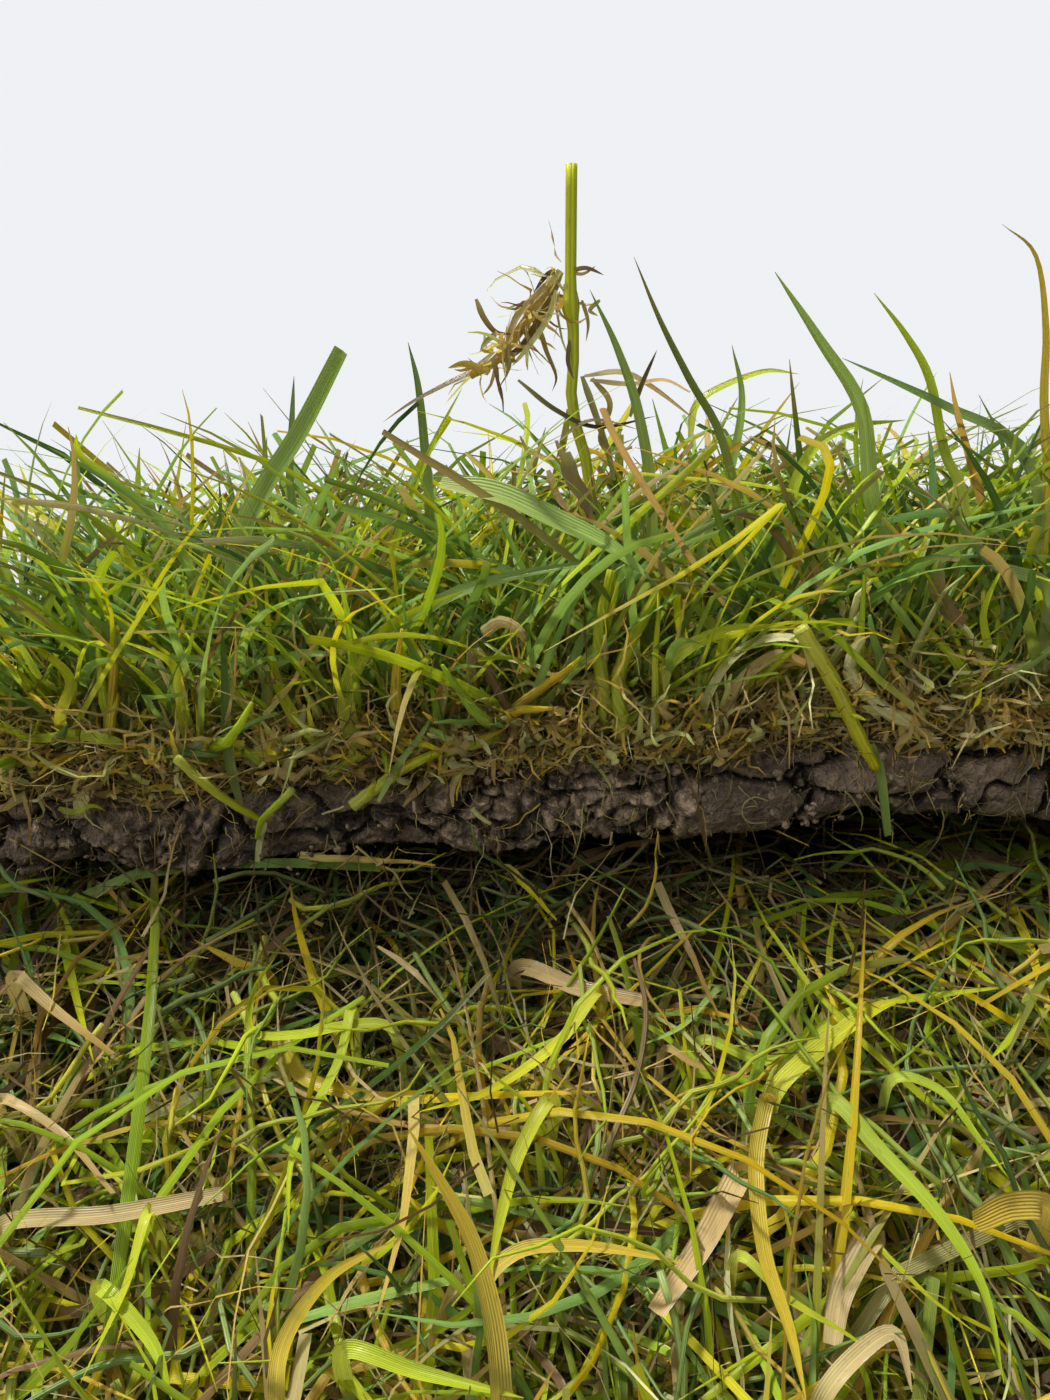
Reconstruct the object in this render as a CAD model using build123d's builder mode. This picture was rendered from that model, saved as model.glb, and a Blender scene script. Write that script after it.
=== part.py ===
"""A roll of turf: one strip of soil, roots and grass, wound up grass side out with its free end on top.

The roll lies along X and is seen on its end in the plane of Y and Z. Its strip is wound in half circles
about two centres that lie half a pitch apart on a vertical line, so each turn is made of true arcs and
lies one pitch outside the turn before it. Even half turns come up the back (+Y), odd ones go down the
front (-Y), and the last one leaves the roll short of the crest as a slack lap over the turn below it.
"""
from build123d import *

import os
from math import acos, cos, degrees, pi, radians, sin, sqrt

# Driving dimensions, in millimetres and degrees
strip_width = 406.0  # across the strip, which is the length of the roll
soil_thickness = 13.5  # dark soil under the crowns
thatch_thickness = 8.0  # runners, crowns and dead stems matted together on the soil
pressed_grass = 9.5  # blades squeezed flat between two turns
standing_grass = 27.0  # blades that stand free on the lap and the crest, up to where they close
ground_grass = 8.0  # blades squashed under the roll where it lies on the ground
front_grass = 17.5  # blades that hang over each other down the front
brow_grass = 8.0  # short blades on the turn below, just in front of the lap
side_inset = 2.0  # how far the sward stands back from the strip's two cut sides
bore_radius = 12.0  # underside of the first half turn, bent round the bore
whole_turns = 4  # turns from the bore until the strip comes under the roll for the last time
crest = 90.0  # degrees up from the back at which the strip is cut off, right over its own bend's centre
lap_turn = 18.0  # degrees before the crest where the free end leaves the roll
lap_radius = 300.0  # bend of the free end's underside, slacker than the roll under it
lap_crease = 45.0  # from the free end back to the crease where it meets the turn below
brow_lead = 10.0  # how far the brow of the turn below lies in front of the free end
rest_offset = 10.0  # from the winding's centre back to the line that the roll rests on, under its weight
stalk_height = 89.0  # top of the one uncut flower stalk, above the thatch of the lap
stalk_diameter = 2.4  # the stalk where it comes out of the sward
stalk_taper = 0.4  # degrees that the stalk's side leans in
stalk_setback = 25.0  # from the free end back to the stalk
stalk_seat_gap = 0.2  # the sward's top curves under the stalk, so it stands just clear of it
stalk_side = 98.0  # from the middle of the roll to the stalk, towards its left end
knot_diameter = 3.4  # swollen joint of the stalk
knot_height = 66.0  # joint above the thatch of the lap

# Sizes that follow from them
mat_thickness = soil_thickness + thatch_thickness
pitch = mat_thickness + pressed_grass
last_half_turn = 2 * whole_turns
back_radius = bore_radius + last_half_turn * pitch / 2
front_radius = back_radius - pitch / 2
lap_start = crest - lap_turn

# Centres and corners of the section, as Y and Z
back_centre = (0.0, 0.0)
front_centre = (0.0, -pitch / 2)
lap_centre = (
    (back_radius - lap_radius) * cos(radians(lap_start)),
    (back_radius - lap_radius) * sin(radians(lap_start)),
)
crest_canopy = (
    (back_radius + mat_thickness + standing_grass) * cos(radians(lap_start)),
    (back_radius + mat_thickness + standing_grass) * sin(radians(lap_start)),
)
rest_point = (rest_offset, -(back_radius + mat_thickness + ground_grass))
front_reach = rest_offset + front_radius + mat_thickness + front_grass
front_point = (rest_offset - front_reach, rest_point[1] + front_reach)
brow_y = lap_centre[0] - brow_lead
brow_radius = front_radius + mat_thickness + brow_grass
brow_point = (brow_y, front_centre[1] + sqrt(brow_radius**2 - brow_y**2))
crease_angle = degrees(acos(lap_crease / lap_radius))
crease_point = (lap_centre[0] + lap_crease, lap_centre[1] + sqrt(lap_radius**2 - lap_crease**2))

# The roll's own origin is the middle of its footprint, on the ground
canopy_rise = crest_canopy[1] - rest_point[1]
back_reach = (canopy_rise**2 + (crest_canopy[0] - rest_offset) ** 2) / (2 * canopy_rise)
middle_y = (front_point[0] + rest_offset + back_reach) / 2
roll_end = Plane(origin=(0, -middle_y, -rest_point[1]), x_dir=(0, 1, 0), z_dir=(1, 0, 0))

# The stalk stands on the sward, over a point of the lap's arc
stalk_y = lap_centre[0] + stalk_setback - middle_y
lap_canopy_radius = lap_radius + mat_thickness + standing_grass
sward_top = lap_centre[1] + sqrt(lap_canopy_radius**2 - stalk_setback**2) - rest_point[1]
stalk_seat = sward_top + stalk_seat_gap
lap_thatch = lap_centre[1] + lap_radius + mat_thickness - rest_point[1]
stalk_length = lap_thatch + stalk_height - stalk_seat


def wound_face(reach: float, first: int, last: int) -> None:
    """Draw a face of the wound strip, reach outside its underside, over the half turns first to last."""
    for half_turn in range(first, last + 1):
        radius = bore_radius + half_turn * pitch / 2 + reach
        if half_turn % 2:
            CenterArc(front_centre, radius, 90, 180)
        elif half_turn < last_half_turn:
            CenterArc(back_centre, radius, -90, 180)
        else:
            CenterArc(back_centre, radius, -90, 180 - lap_turn)


def lap_face(reach: float, end: float = crest) -> None:
    """Draw a face of the free end, reach outside its underside, from where it leaves the roll to end."""
    CenterArc(lap_centre, lap_radius + reach, lap_start, end - lap_start)


def strip_length() -> float:
    """Length of the strip along the middle of the soil and thatch."""
    middle = mat_thickness / 2
    halves = [pi * (bore_radius + index * pitch / 2 + middle) for index in range(last_half_turn)]
    last_rise = radians(180 - lap_turn) * (back_radius + middle)
    return sum(halves) + last_rise + radians(lap_turn) * (lap_radius + middle)


# Soil and thatch, wound up as one strip with square ends
with BuildPart() as turf_mat:
    with BuildSketch(roll_end):
        with BuildLine():
            wound_face(0, 0, last_half_turn)
            lap_face(0)
            Line(
                (lap_centre[0], lap_centre[1] + lap_radius),
                (lap_centre[0], lap_centre[1] + lap_radius + mat_thickness),
            )
            lap_face(mat_thickness)
            wound_face(mat_thickness, 0, last_half_turn)
            Line((0, -bore_radius), (0, -bore_radius - mat_thickness))
        make_face()
    extrude(amount=strip_width / 2, both=True)

# Sward: pressed between the turns, standing on the lap, and hanging or squashed round the outside
with BuildPart() as grass:
    with BuildSketch(roll_end):
        with BuildLine():
            wound_face(mat_thickness, 0, last_half_turn)
            lap_face(mat_thickness)
            Line(
                (lap_centre[0], lap_centre[1] + lap_radius + mat_thickness),
                (lap_centre[0], lap_centre[1] + lap_radius + mat_thickness + standing_grass),
            )
            lap_face(mat_thickness + standing_grass)
            TangentArc(rest_point, crest_canopy, tangent=(1, 0))
            CenterArc((rest_offset, front_point[1]), front_reach, 180, 90)
            TangentArc(front_point, brow_point, tangent=(0, 1))
            Line(brow_point, crease_point)
            lap_face(0, crease_angle)
            wound_face(0, 2, last_half_turn)
            Line((0, -bore_radius - mat_thickness), (0, -bore_radius - pitch))
        make_face()
    extrude(amount=strip_width / 2 - side_inset, both=True)

# Uncut flower stalk, from the top of the sward up, with its one swollen joint
with BuildPart() as flower_stalk:
    with BuildSketch(Plane.XY.offset(stalk_seat).shift_origin((-stalk_side, stalk_y, stalk_seat))):
        Circle(stalk_diameter / 2)
    extrude(amount=stalk_length, taper=stalk_taper)
    with Locations((-stalk_side, stalk_y, lap_thatch + knot_height)):
        Sphere(knot_diameter / 2)

turf_mat.part.label = "turf_mat"
grass.part.label = "grass"
flower_stalk.part.label = "flower_stalk"

os.makedirs("parts", exist_ok=True)
export_step(turf_mat.part, "parts/turf_mat.step")
export_step(grass.part, "parts/grass.step")
export_step(flower_stalk.part, "parts/flower_stalk.step")

print(f"strip {strip_length():.0f} mm long, {strip_length() * strip_width / 1e6:.2f} square metres")
for piece in (turf_mat.part, grass.part, flower_stalk.part):
    print(f"{piece.label}: {piece.volume / 1e6:.4f} litres")
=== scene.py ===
"""The looks of a roll of turf: cut soil, thatch, roots, runners and grass, dressed onto the wound strip.

Places on the strip are given as back (metres from the free end's cut face, along the top of the thatch),
side (metres along the roll's X axis) and height (metres above the top of the thatch).
"""
import logging
from dataclasses import dataclass, field
from enum import Enum
from math import pi, radians

import bpy
import numpy as np
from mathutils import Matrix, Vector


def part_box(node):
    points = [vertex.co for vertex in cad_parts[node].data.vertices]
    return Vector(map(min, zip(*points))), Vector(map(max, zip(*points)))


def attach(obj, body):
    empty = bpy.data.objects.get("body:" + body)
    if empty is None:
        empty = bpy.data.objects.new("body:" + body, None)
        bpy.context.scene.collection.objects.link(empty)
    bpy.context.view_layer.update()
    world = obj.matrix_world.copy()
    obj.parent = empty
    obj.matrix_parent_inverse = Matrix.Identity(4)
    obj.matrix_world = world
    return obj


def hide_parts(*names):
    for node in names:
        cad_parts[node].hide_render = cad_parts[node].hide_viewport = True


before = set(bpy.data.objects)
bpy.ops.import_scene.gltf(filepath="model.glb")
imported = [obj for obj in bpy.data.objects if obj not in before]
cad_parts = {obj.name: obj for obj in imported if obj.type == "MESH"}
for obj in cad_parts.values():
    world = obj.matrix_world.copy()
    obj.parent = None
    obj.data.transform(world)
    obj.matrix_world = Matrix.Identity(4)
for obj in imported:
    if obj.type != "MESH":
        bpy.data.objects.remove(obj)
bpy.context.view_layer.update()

LOG = logging.getLogger("turf")
MM = 0.001

# Colour columns of the leaf finish, and how much of one a blade or a tube takes up
COLUMNS = 64
BLADE_HALF_COLUMN = 0.42
TUBE_COLUMN_START = 0.1
TUBE_COLUMN_WIDTH = 0.8

# Names of the texture maps, and the texture heights that a strand runs through from foot to tip
BAKE_MAP = "OFBake"
STRIP_MAP = "Strip"
WHOLE_BLADE = (0.01, 0.99)
EVEN_BLADE = (0.34, 0.55)
FRESH_LITTER = (0.01, 0.5)
FRESH_STRAND = (0.01, 0.55)

Value = float | tuple | bpy.types.NodeSocket


class Tint(Enum):
    """Groups of colour columns that a blade or a fibre takes its colour from, as first and last column."""

    DEEP = (0, 9)
    GREEN = (10, 23)
    LIME = (24, 35)
    GOLD = (36, 41)
    STRAW = (42, 49)
    BROWN = (50, 55)
    PALE = (56, 59)
    UMBER = (60, 63)


class Anchor(Enum):
    """What a drawn strand's depth is counted from."""

    LAP = "millimetres behind the cut face of the free end"
    TURN = "millimetres above the thatch of the turn below"


class Form(Enum):
    """What a drawn strand is: a blade or a round stem, rooted in the mat or loose, pointed or cut."""

    BLADE = "a rooted blade with its point"
    MOWN = "a rooted blade with its tip cut off"
    STRAY = "a loose blade with its point"
    SCRAP = "a loose blade with its tip cut off"
    STEM = "a round stem that is rooted"
    TWIG = "a round stem or root that is loose"

    @property
    def rooted(self) -> bool:
        """Whether the strand gets one more point, sunk into the mat."""
        return self in (Form.BLADE, Form.MOWN, Form.STEM)

    @property
    def cut(self) -> bool:
        """Whether the blade ends nearly as wide as it is."""
        return self in (Form.MOWN, Form.SCRAP)

    @property
    def round(self) -> bool:
        """Whether the strand is a tube."""
        return self in (Form.STEM, Form.TWIG)


def blend(**shares: float) -> list[tuple[Tint, float]]:
    """A mixture of tints, each given by its name in small letters with its share."""
    return [(Tint[name.upper()], share) for name, share in shares.items()]


LAWN = blend(deep=1.5, green=5.6, lime=4.2, gold=0.3, straw=0.4, brown=0.1)
LYING = blend(deep=0.4, green=2.0, lime=5.0, gold=1.6, straw=1.3, brown=0.8)
# Painted shade: dark greens for grass under the roll and in the crease under the free end, in shadow
SHADE_DULL = blend(deep=5.0, green=2.4, lime=0.5, gold=0.4, brown=0.6, umber=1.2)
DEAD = blend(straw=6.4, brown=2.4, umber=1.0, gold=0.5, pale=1.4)
MATTED = blend(straw=3.6, brown=3.0, umber=3.4, gold=0.3, pale=0.8)
CHAFF = blend(straw=6.0, brown=1.6, pale=2.2, gold=0.9)
BRIGHT = blend(straw=5.0, pale=3.0, gold=1.0)
DRIED = blend(straw=4.0, brown=3.5, pale=0.8)
# Painted shade: dark mixtures for grass deep in the sward and under the free end, in its shadow
SHADE_DUSK = blend(deep=4.0, green=1.0, lime=0.4, gold=0.3, brown=1.6, umber=3.4)
SHADE_GLOOM = blend(deep=4.6, umber=4.4, brown=1.0, green=0.5)
# Dark brown litter at the foot of the sward: partly its own colour, partly painted shade from the blades
DARK_LITTER_AND_SHADE = blend(umber=6.0, brown=2.6, straw=0.8, deep=0.6)
YOUNG = blend(lime=4.0, green=2.2, gold=1.2, deep=0.8)
SHOOT = blend(lime=3.0, gold=1.0, pale=1.5, green=1.0)
PRESSED = blend(lime=2.0, green=2.4, deep=1.4, gold=1.5, straw=2.5, brown=1.6)


def spread(rng: np.random.Generator, low: float, high: float, count: int) -> np.ndarray:
    """Random numbers spread evenly from low to high."""
    return rng.uniform(low, high, count)


def unit(vectors: np.ndarray) -> np.ndarray:
    """Each vector divided by its own length."""
    return vectors / np.maximum(np.linalg.norm(vectors, axis=-1, keepdims=True), 1e-12)


def hashed(cells: np.ndarray, seed: int) -> np.ndarray:
    """Numbers from 0 to 1 that depend only on the cell: the fraction of a large sine of a weighted sum."""
    mixed = np.sin(cells @ np.array([127.1, 311.7, 74.7]) + seed * 19.19) * 43758.5453
    return mixed - np.floor(mixed)


def smooth_noise(points: np.ndarray, size: float, seed: int) -> np.ndarray:
    """Value noise from -1 to 1: the hashed corners of each cell, blended by the smoothstep of the place.

    Args:
        points: places, as an array whose last axis has three numbers.
        size: edge of a cell in metres.
        seed: picks the pattern.

    Returns:
        One number for each place.
    """
    scaled = points / size
    cell = np.floor(scaled)
    blend = scaled - cell
    blend = blend * blend * (3 - 2 * blend)
    total = np.zeros(points.shape[:-1])
    for corner in np.ndindex(2, 2, 2):
        weight = np.prod(np.where(corner, blend, 1 - blend), axis=-1)
        total += weight * hashed(cell + corner, seed)
    return total * 2 - 1


def layered_noise(points: np.ndarray, size: float, seed: int, layers: int = 3) -> np.ndarray:
    """Value noise summed over layers, each half as large and half as strong as the one before."""
    return sum(smooth_noise(points, size / 2**k, seed + k) / 2**k for k in range(layers))


def clods(points: np.ndarray, size: float, seed: int) -> tuple[np.ndarray, np.ndarray]:
    """Cellular noise: each place belongs to the nearest jittered cell centre, and is a facet tilted by it.

    Args:
        points: places, as an array whose last axis has three numbers.
        size: spacing of the centres in metres.
        seed: picks the pattern.

    Returns:
        How much nearer the first centre is than the second, from 0 on a crack, and the facet's height from
        -1 to 1, which is the place's offset from its centre along a direction of that centre's own.
    """
    scaled = points / size
    cell = np.floor(scaled)
    first = np.full(points.shape[:-1], 9.0)
    second = first.copy()
    tilt = np.zeros_like(first)
    for step in np.ndindex(3, 3, 3):
        near = cell + np.array(step) - 1
        jitter = np.stack([hashed(near, seed + axis) for axis in range(3)], axis=-1)
        lean = np.stack([hashed(near, seed + 5 + axis) - 0.5 for axis in range(3)], axis=-1)
        offset = scaled - near - jitter
        distance = np.linalg.norm(offset, axis=-1)
        height = np.sum(offset * lean, axis=-1) * 2 + hashed(near, seed + 9) - 0.5
        closer = distance < first
        second = np.where(closer, first, np.minimum(second, distance))
        tilt = np.where(closer, height, tilt)
        first = np.where(closer, distance, first)
    return second - first, tilt


@dataclass(frozen=True)
class Winding:
    """The wound strip's own shape: half circles about two centres, and a slack lap at the free end.

    Sizes are in metres and angles in radians. past_end is how far the lap's arc goes on past the cut face.
    The droop grows to the left from droop_from over droop_run, fades out over droop_behind, and has waves,
    each a height, radians for each metre and a start. overhang and back_bulge hold grass near the roll.
    """

    width: float = 0.406
    soil: float = 0.0135
    mat: float = 0.0215
    pitch: float = 0.031
    bore: float = 0.012
    turns: int = 4
    lap_turn: float = radians(18)
    lap_radius: float = 0.300
    past_end: float = 0.5
    droop: float = 0.008
    droop_from: float = -0.055
    droop_run: float = 0.11
    droop_behind: float = 0.095
    droop_waves: tuple[tuple[float, float, float], ...] = ((0.12, 61, 0.7), (0.08, 143, 0.0))
    floor_level: float = 0.0004
    floor_bend: float = 0.0015
    floor_lift: float = 0.0002
    overhang: float = 0.018
    back_bulge: float = 0.012

    @property
    def back_radius(self) -> float:
        """Radius of the last half turn's underside."""
        return self.bore + self.turns * self.pitch

    @property
    def axis(self) -> np.ndarray:
        """Y and Z of the centre that the back halves are bent round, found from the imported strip's box."""
        low, high = (np.array(corner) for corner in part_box("turf_mat"))
        reach = self.back_radius + self.mat
        return np.array([high[1] - reach, low[2] + reach])

    def knots(self) -> tuple[np.ndarray, np.ndarray, np.ndarray, np.ndarray]:
        """The winding's pieces, from the bore outwards.

        Returns:
            The winding angle at which each piece starts, counted from the strip's inner end, with one more
            for the end of a short stretch past the free end, then each piece's centre and its radius, and
            the distance along the top of the thatch at each start, counted back from the free end.
        """
        halves = np.arange(2 * self.turns + 1)
        leaves = halves[-1] * pi + pi - self.lap_turn
        starts = np.append(halves * pi, [leaves, halves[-1] * pi + pi + self.past_end])
        radii = np.append(self.bore + halves * self.pitch / 2, self.lap_radius)
        odd = np.arange(len(radii)) % 2
        centres = np.stack([np.zeros(len(radii)), np.where(odd, -self.pitch / 2, 0)], 1)
        leave = pi / 2 - self.lap_turn
        centres[-1] = (self.back_radius - self.lap_radius) * np.array([np.cos(leave), np.sin(leave)])
        lengths = np.diff(starts) * (radii + self.mat)
        along = np.append(0, np.cumsum(lengths))
        end = along[-1] - self.past_end * (self.lap_radius + self.mat)
        return starts, centres, radii, end - along

    def polar(self, back: np.ndarray) -> tuple[np.ndarray, np.ndarray, np.ndarray]:
        """Centre, radius of the underside and angle of the strip at distances back from the free end."""
        starts, centres, radii, along = self.knots()
        turned = np.interp(-back, -along, starts)
        piece = np.clip(np.searchsorted(starts, turned, side="right") - 1, 0, len(radii) - 1)
        return centres[piece], radii[piece], turned - pi / 2

    def sag(self, back: np.ndarray, side: np.ndarray) -> np.ndarray:
        """How far the free end hangs down: a smooth step towards its left end that fades out behind."""
        left = np.clip((self.droop_from - side) / self.droop_run, 0, 1)
        free = np.clip(1 - back / self.droop_behind, 0, 1)
        wavy = sum(high * np.sin(side * turns + start) for high, turns, start in self.droop_waves)
        return self.droop * free**1.3 * (left * left * (3 - 2 * left) + wavy)

    def place(self, back: np.ndarray, side: np.ndarray, height: np.ndarray) -> np.ndarray:
        """Points of the frame: the strip's centre for each place, plus its radius and height on the normal.

        Past the roll's two ends a point's overhang is pressed under a limit by a hyperbolic tangent, and
        near the floor its height is bent smoothly up to stay on it.
        """
        back, side, height = np.broadcast_arrays(back, side, height)
        centre, radius, angle = self.polar(back)
        reach = radius + self.mat + height
        y = self.axis[0] + centre[..., 0] + reach * np.cos(angle)
        z = self.axis[1] + centre[..., 1] + reach * np.sin(angle) - self.sag(back, side)
        bent = np.sqrt((z - self.floor_level) ** 2 + self.floor_bend**2)
        z = 0.5 * (z + bent) + self.floor_lift
        half = self.width / 2
        over = np.maximum(np.abs(side) - half, 0)
        kept = np.minimum(np.abs(side), half) + self.overhang * np.tanh(over / self.overhang)
        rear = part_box("grass")[1][1] + 0.5 * self.back_bulge
        y = np.minimum(y, rear) + self.back_bulge * np.tanh(np.maximum(y - rear, 0) / self.back_bulge)
        return np.stack([np.sign(side) * kept, y, z], axis=-1)

    def turned(self, back: np.ndarray, vectors: np.ndarray) -> np.ndarray:
        """Directions given as back, side and height, turned into the frame at their places on the strip."""
        _, _, angle = self.polar(back)
        y = vectors[..., 0] * np.sin(angle) + vectors[..., 2] * np.cos(angle)
        z = -vectors[..., 0] * np.cos(angle) + vectors[..., 2] * np.sin(angle)
        return np.stack([vectors[..., 1], y, z], axis=-1)


@dataclass
class Surface:
    """Vertices, quads and texture places that wait to be put into one mesh."""

    vertices: list[np.ndarray] = field(default_factory=list)
    faces: list[np.ndarray] = field(default_factory=list)
    uvs: list[np.ndarray] = field(default_factory=list)
    layers: list[np.ndarray] = field(default_factory=list)
    count: int = 0

    def add(
        self, grid: np.ndarray, uv: np.ndarray, wrap: bool = False, layer: np.ndarray | None = None
    ) -> None:
        """Add many grids of points, each joined to its own neighbours by quads.

        Args:
            grid: points, as an array of grid, row, column and three numbers.
            uv: texture places, as an array of grid, row, column and two numbers.
            wrap: whether the last column joins the first.
            layer: height above the strip's underside at each point, in metres.
        """
        many, rows, columns = grid.shape[:3]
        index = np.arange(many * rows * columns).reshape(many, rows, columns)
        ahead = np.roll(index, -1, axis=2) if wrap else index[:, :, 1:]
        here = index if wrap else index[:, :, :-1]
        quads = np.stack([here[:, :-1], ahead[:, :-1], ahead[:, 1:], here[:, 1:]], axis=-1).reshape(-1, 4)
        self.faces.append(quads + self.count)
        self.vertices.append(grid.reshape(-1, 3))
        self.uvs.append(uv.reshape(-1, 2))
        heights = np.zeros(many * rows * columns) if layer is None else layer.reshape(-1)
        self.layers.append(heights)
        self.count += many * rows * columns

    def build(self, name: str, material: bpy.types.Material, slot: str) -> bpy.types.Object:
        """Put the arrays into a mesh object that rides on the roll.

        Args:
            name: the object's name.
            material: its finish.
            slot: the record's material slot.

        Returns:
            The new object.
        """
        mesh = bpy.data.meshes.new(name)
        faces = np.concatenate(self.faces).astype(np.int32)
        mesh.vertices.add(self.count)
        mesh.vertices.foreach_set("co", np.concatenate(self.vertices).astype(np.float32).ravel())
        mesh.loops.add(faces.size)
        mesh.loops.foreach_set("vertex_index", faces.ravel())
        mesh.polygons.add(len(faces))
        mesh.polygons.foreach_set("loop_start", np.arange(0, faces.size, 4, dtype=np.int32))
        mesh.update(calc_edges=True)
        mesh.polygons.foreach_set("use_smooth", np.ones(len(faces), dtype=bool))
        uv = np.concatenate(self.uvs).astype(np.float32)[faces.ravel()]
        uv_map = STRIP_MAP if slot == "soil" else BAKE_MAP
        mesh.uv_layers.new(name=uv_map).data.foreach_set("uv", uv.ravel())
        height = mesh.attributes.new("layer", "FLOAT", "POINT")
        height.data.foreach_set("value", np.concatenate(self.layers).astype(np.float32))
        mesh.materials.append(material)
        piece = bpy.data.objects.new(name, mesh)
        bpy.context.scene.collection.objects.link(piece)
        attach(piece, "root")
        LOG.info("%s has %d triangles", name, 2 * len(faces))
        return piece


def columns_of(tints: list[tuple[Tint, float]], count: int, rng: np.random.Generator) -> np.ndarray:
    """Pick a colour column for each of count blades, from tints given with their shares."""
    shares = np.array([share for _, share in tints])
    picked = rng.choice(len(tints), count, p=shares / shares.sum())
    low = np.array([tint.value[0] for tint, _ in tints])[picked]
    high = np.array([tint.value[1] for tint, _ in tints])[picked]
    return low + np.floor(rng.random(count) * (high - low + 1))


def add_ribbons(
    surface: Surface,
    path: np.ndarray,
    side: np.ndarray,
    width: np.ndarray,
    fold: float,
    column: np.ndarray,
    across: int,
    heights: tuple[float, float] = WHOLE_BLADE,
) -> None:
    """Add blades: strips carried along paths, level from edge to edge or folded down along a keel.

    Each point is the path's point plus the side direction times half the width times a number that runs
    from -1 to 1 across the blade, less the face direction times the fold where that number is 0.

    Args:
        surface: what the blades are added to.
        path: midlines, as an array of blade, point and three numbers.
        side: directions across the blades at the same points.
        width: full widths at the same points.
        fold: depth of the keel as a share of the width.
        column: each blade's colour column.
        across: points across a blade, 2 or 3.
        heights: texture heights at the root and at the tip. A higher root leaves out the pale foot, and a
            lower tip leaves out the dry end.
    """
    along = unit(np.gradient(path, axis=1))
    side = unit(side - along * np.sum(side * along, axis=-1, keepdims=True))
    face = np.cross(along, side)
    steps = np.linspace(-1, 1, across)
    half = (width / 2)[..., None, None]
    grid = path[:, :, None] + side[:, :, None] * half * steps[:, None]
    grid = grid - face[:, :, None] * (width * fold)[..., None, None] * (1 - np.abs(steps))[:, None]
    many, points = path.shape[:2]
    u = (column[:, None, None] + 0.5 + BLADE_HALF_COLUMN * steps) / COLUMNS
    v = np.linspace(*heights, points)[None, :, None]
    uv = np.stack(np.broadcast_arrays(u, v), axis=-1)
    surface.add(grid, np.broadcast_to(uv, (many, points, across, 2)))


def add_tubes(
    surface: Surface,
    path: np.ndarray,
    radius: np.ndarray,
    column: np.ndarray,
    sides: int,
    heights: tuple[float, float],
) -> None:
    """Add stems or roots: rings of points carried along paths, closed at both ends by a ring of no size.

    Args:
        surface: what the tubes are added to.
        path: midlines, as an array of tube, point and three numbers.
        radius: radii at the same points.
        column: each tube's colour column.
        sides: points round a ring.
        heights: texture heights at the first and at the last ring.
    """
    closed = 0.02
    path = np.concatenate([path[:, :1], path, path[:, -1:]], axis=1)
    radius = np.concatenate([radius[:, :1] * closed, radius, radius[:, -1:] * closed], axis=1)
    along = np.gradient(path, axis=1)
    along[:, 0], along[:, -1] = along[:, 1], along[:, -2]
    along = unit(along)
    helper = np.where(np.abs(along[:, :1, 2:]) > 0.8, np.array([1.0, 0, 0]), np.array([0, 0, 1.0]))
    side = unit(np.cross(along, helper))
    face = np.cross(side, along)
    turn = np.arange(sides) * 2 * pi / sides
    ring = side[:, :, None] * np.cos(turn)[:, None] + face[:, :, None] * np.sin(turn)[:, None]
    grid = path[:, :, None] + ring * radius[..., None, None]
    around = TUBE_COLUMN_START + TUBE_COLUMN_WIDTH * np.arange(sides) / (sides - 1)
    u = (column[:, None, None] + around) / COLUMNS
    v = np.linspace(*heights, path.shape[1])[None, :, None]
    uv = np.stack(np.broadcast_arrays(u, v), axis=-1)
    surface.add(grid, np.broadcast_to(uv, grid.shape[:3] + (2,)), wrap=True)


def wander(
    rng: np.random.Generator,
    roots: np.ndarray,
    heading: np.ndarray,
    rise: np.ndarray,
    length: np.ndarray,
    bend: float,
    segments: int,
) -> np.ndarray:
    """Paths that wander on the strip: each step's heading and rise are the last step's plus a random turn.

    Args:
        rng: the random numbers to draw from.
        roots: first points, as back, side and height.
        heading: first headings in radians, where 0 is away from the free end.
        rise: first angles off the strip in radians.
        length: whole lengths in metres.
        bend: spread of the turn at each step in degrees, of which the rise gets the share in lifted.
        segments: steps in a path.

    Returns:
        Points as an array of path, point and back, side and height.
    """
    lifted = 0.7
    count = len(roots)
    head = heading[:, None] + np.cumsum(np.radians(rng.normal(0, bend, (count, segments))), axis=1)
    lift = rise[:, None] + np.cumsum(np.radians(rng.normal(0, bend * lifted, (count, segments))), axis=1)
    step = np.stack([np.cos(lift) * np.cos(head), np.cos(lift) * np.sin(head), np.sin(lift)], axis=-1)
    walked = np.cumsum(step * (length / segments)[:, None, None], axis=1)
    return np.concatenate([roots[:, None], roots[:, None] + walked], axis=1)


def smoothed(points: np.ndarray, count: int) -> np.ndarray:
    """Points on a Catmull-Rom curve through a row of points: a cubic between each two of them.

    Args:
        points: the row, as an array of point and three numbers.
        count: how many points to give back.

    Returns:
        The points, evenly spread over the row's parameter.
    """
    ends = np.concatenate([2 * points[:1] - points[1:2], points, 2 * points[-1:] - points[-2:-1]])
    place = np.linspace(0, len(points) - 1 - 1e-6, count)
    cell = place.astype(int)
    t = (place - cell)[:, None]
    before, first, second, after = (ends[cell + step] for step in range(4))
    bow = 2 * before - 5 * first + 4 * second - after
    wave = 3 * first - before - 3 * second + after
    return 0.5 * (2 * first + (second - before) * t + bow * t**2 + wave * t**3)


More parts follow.
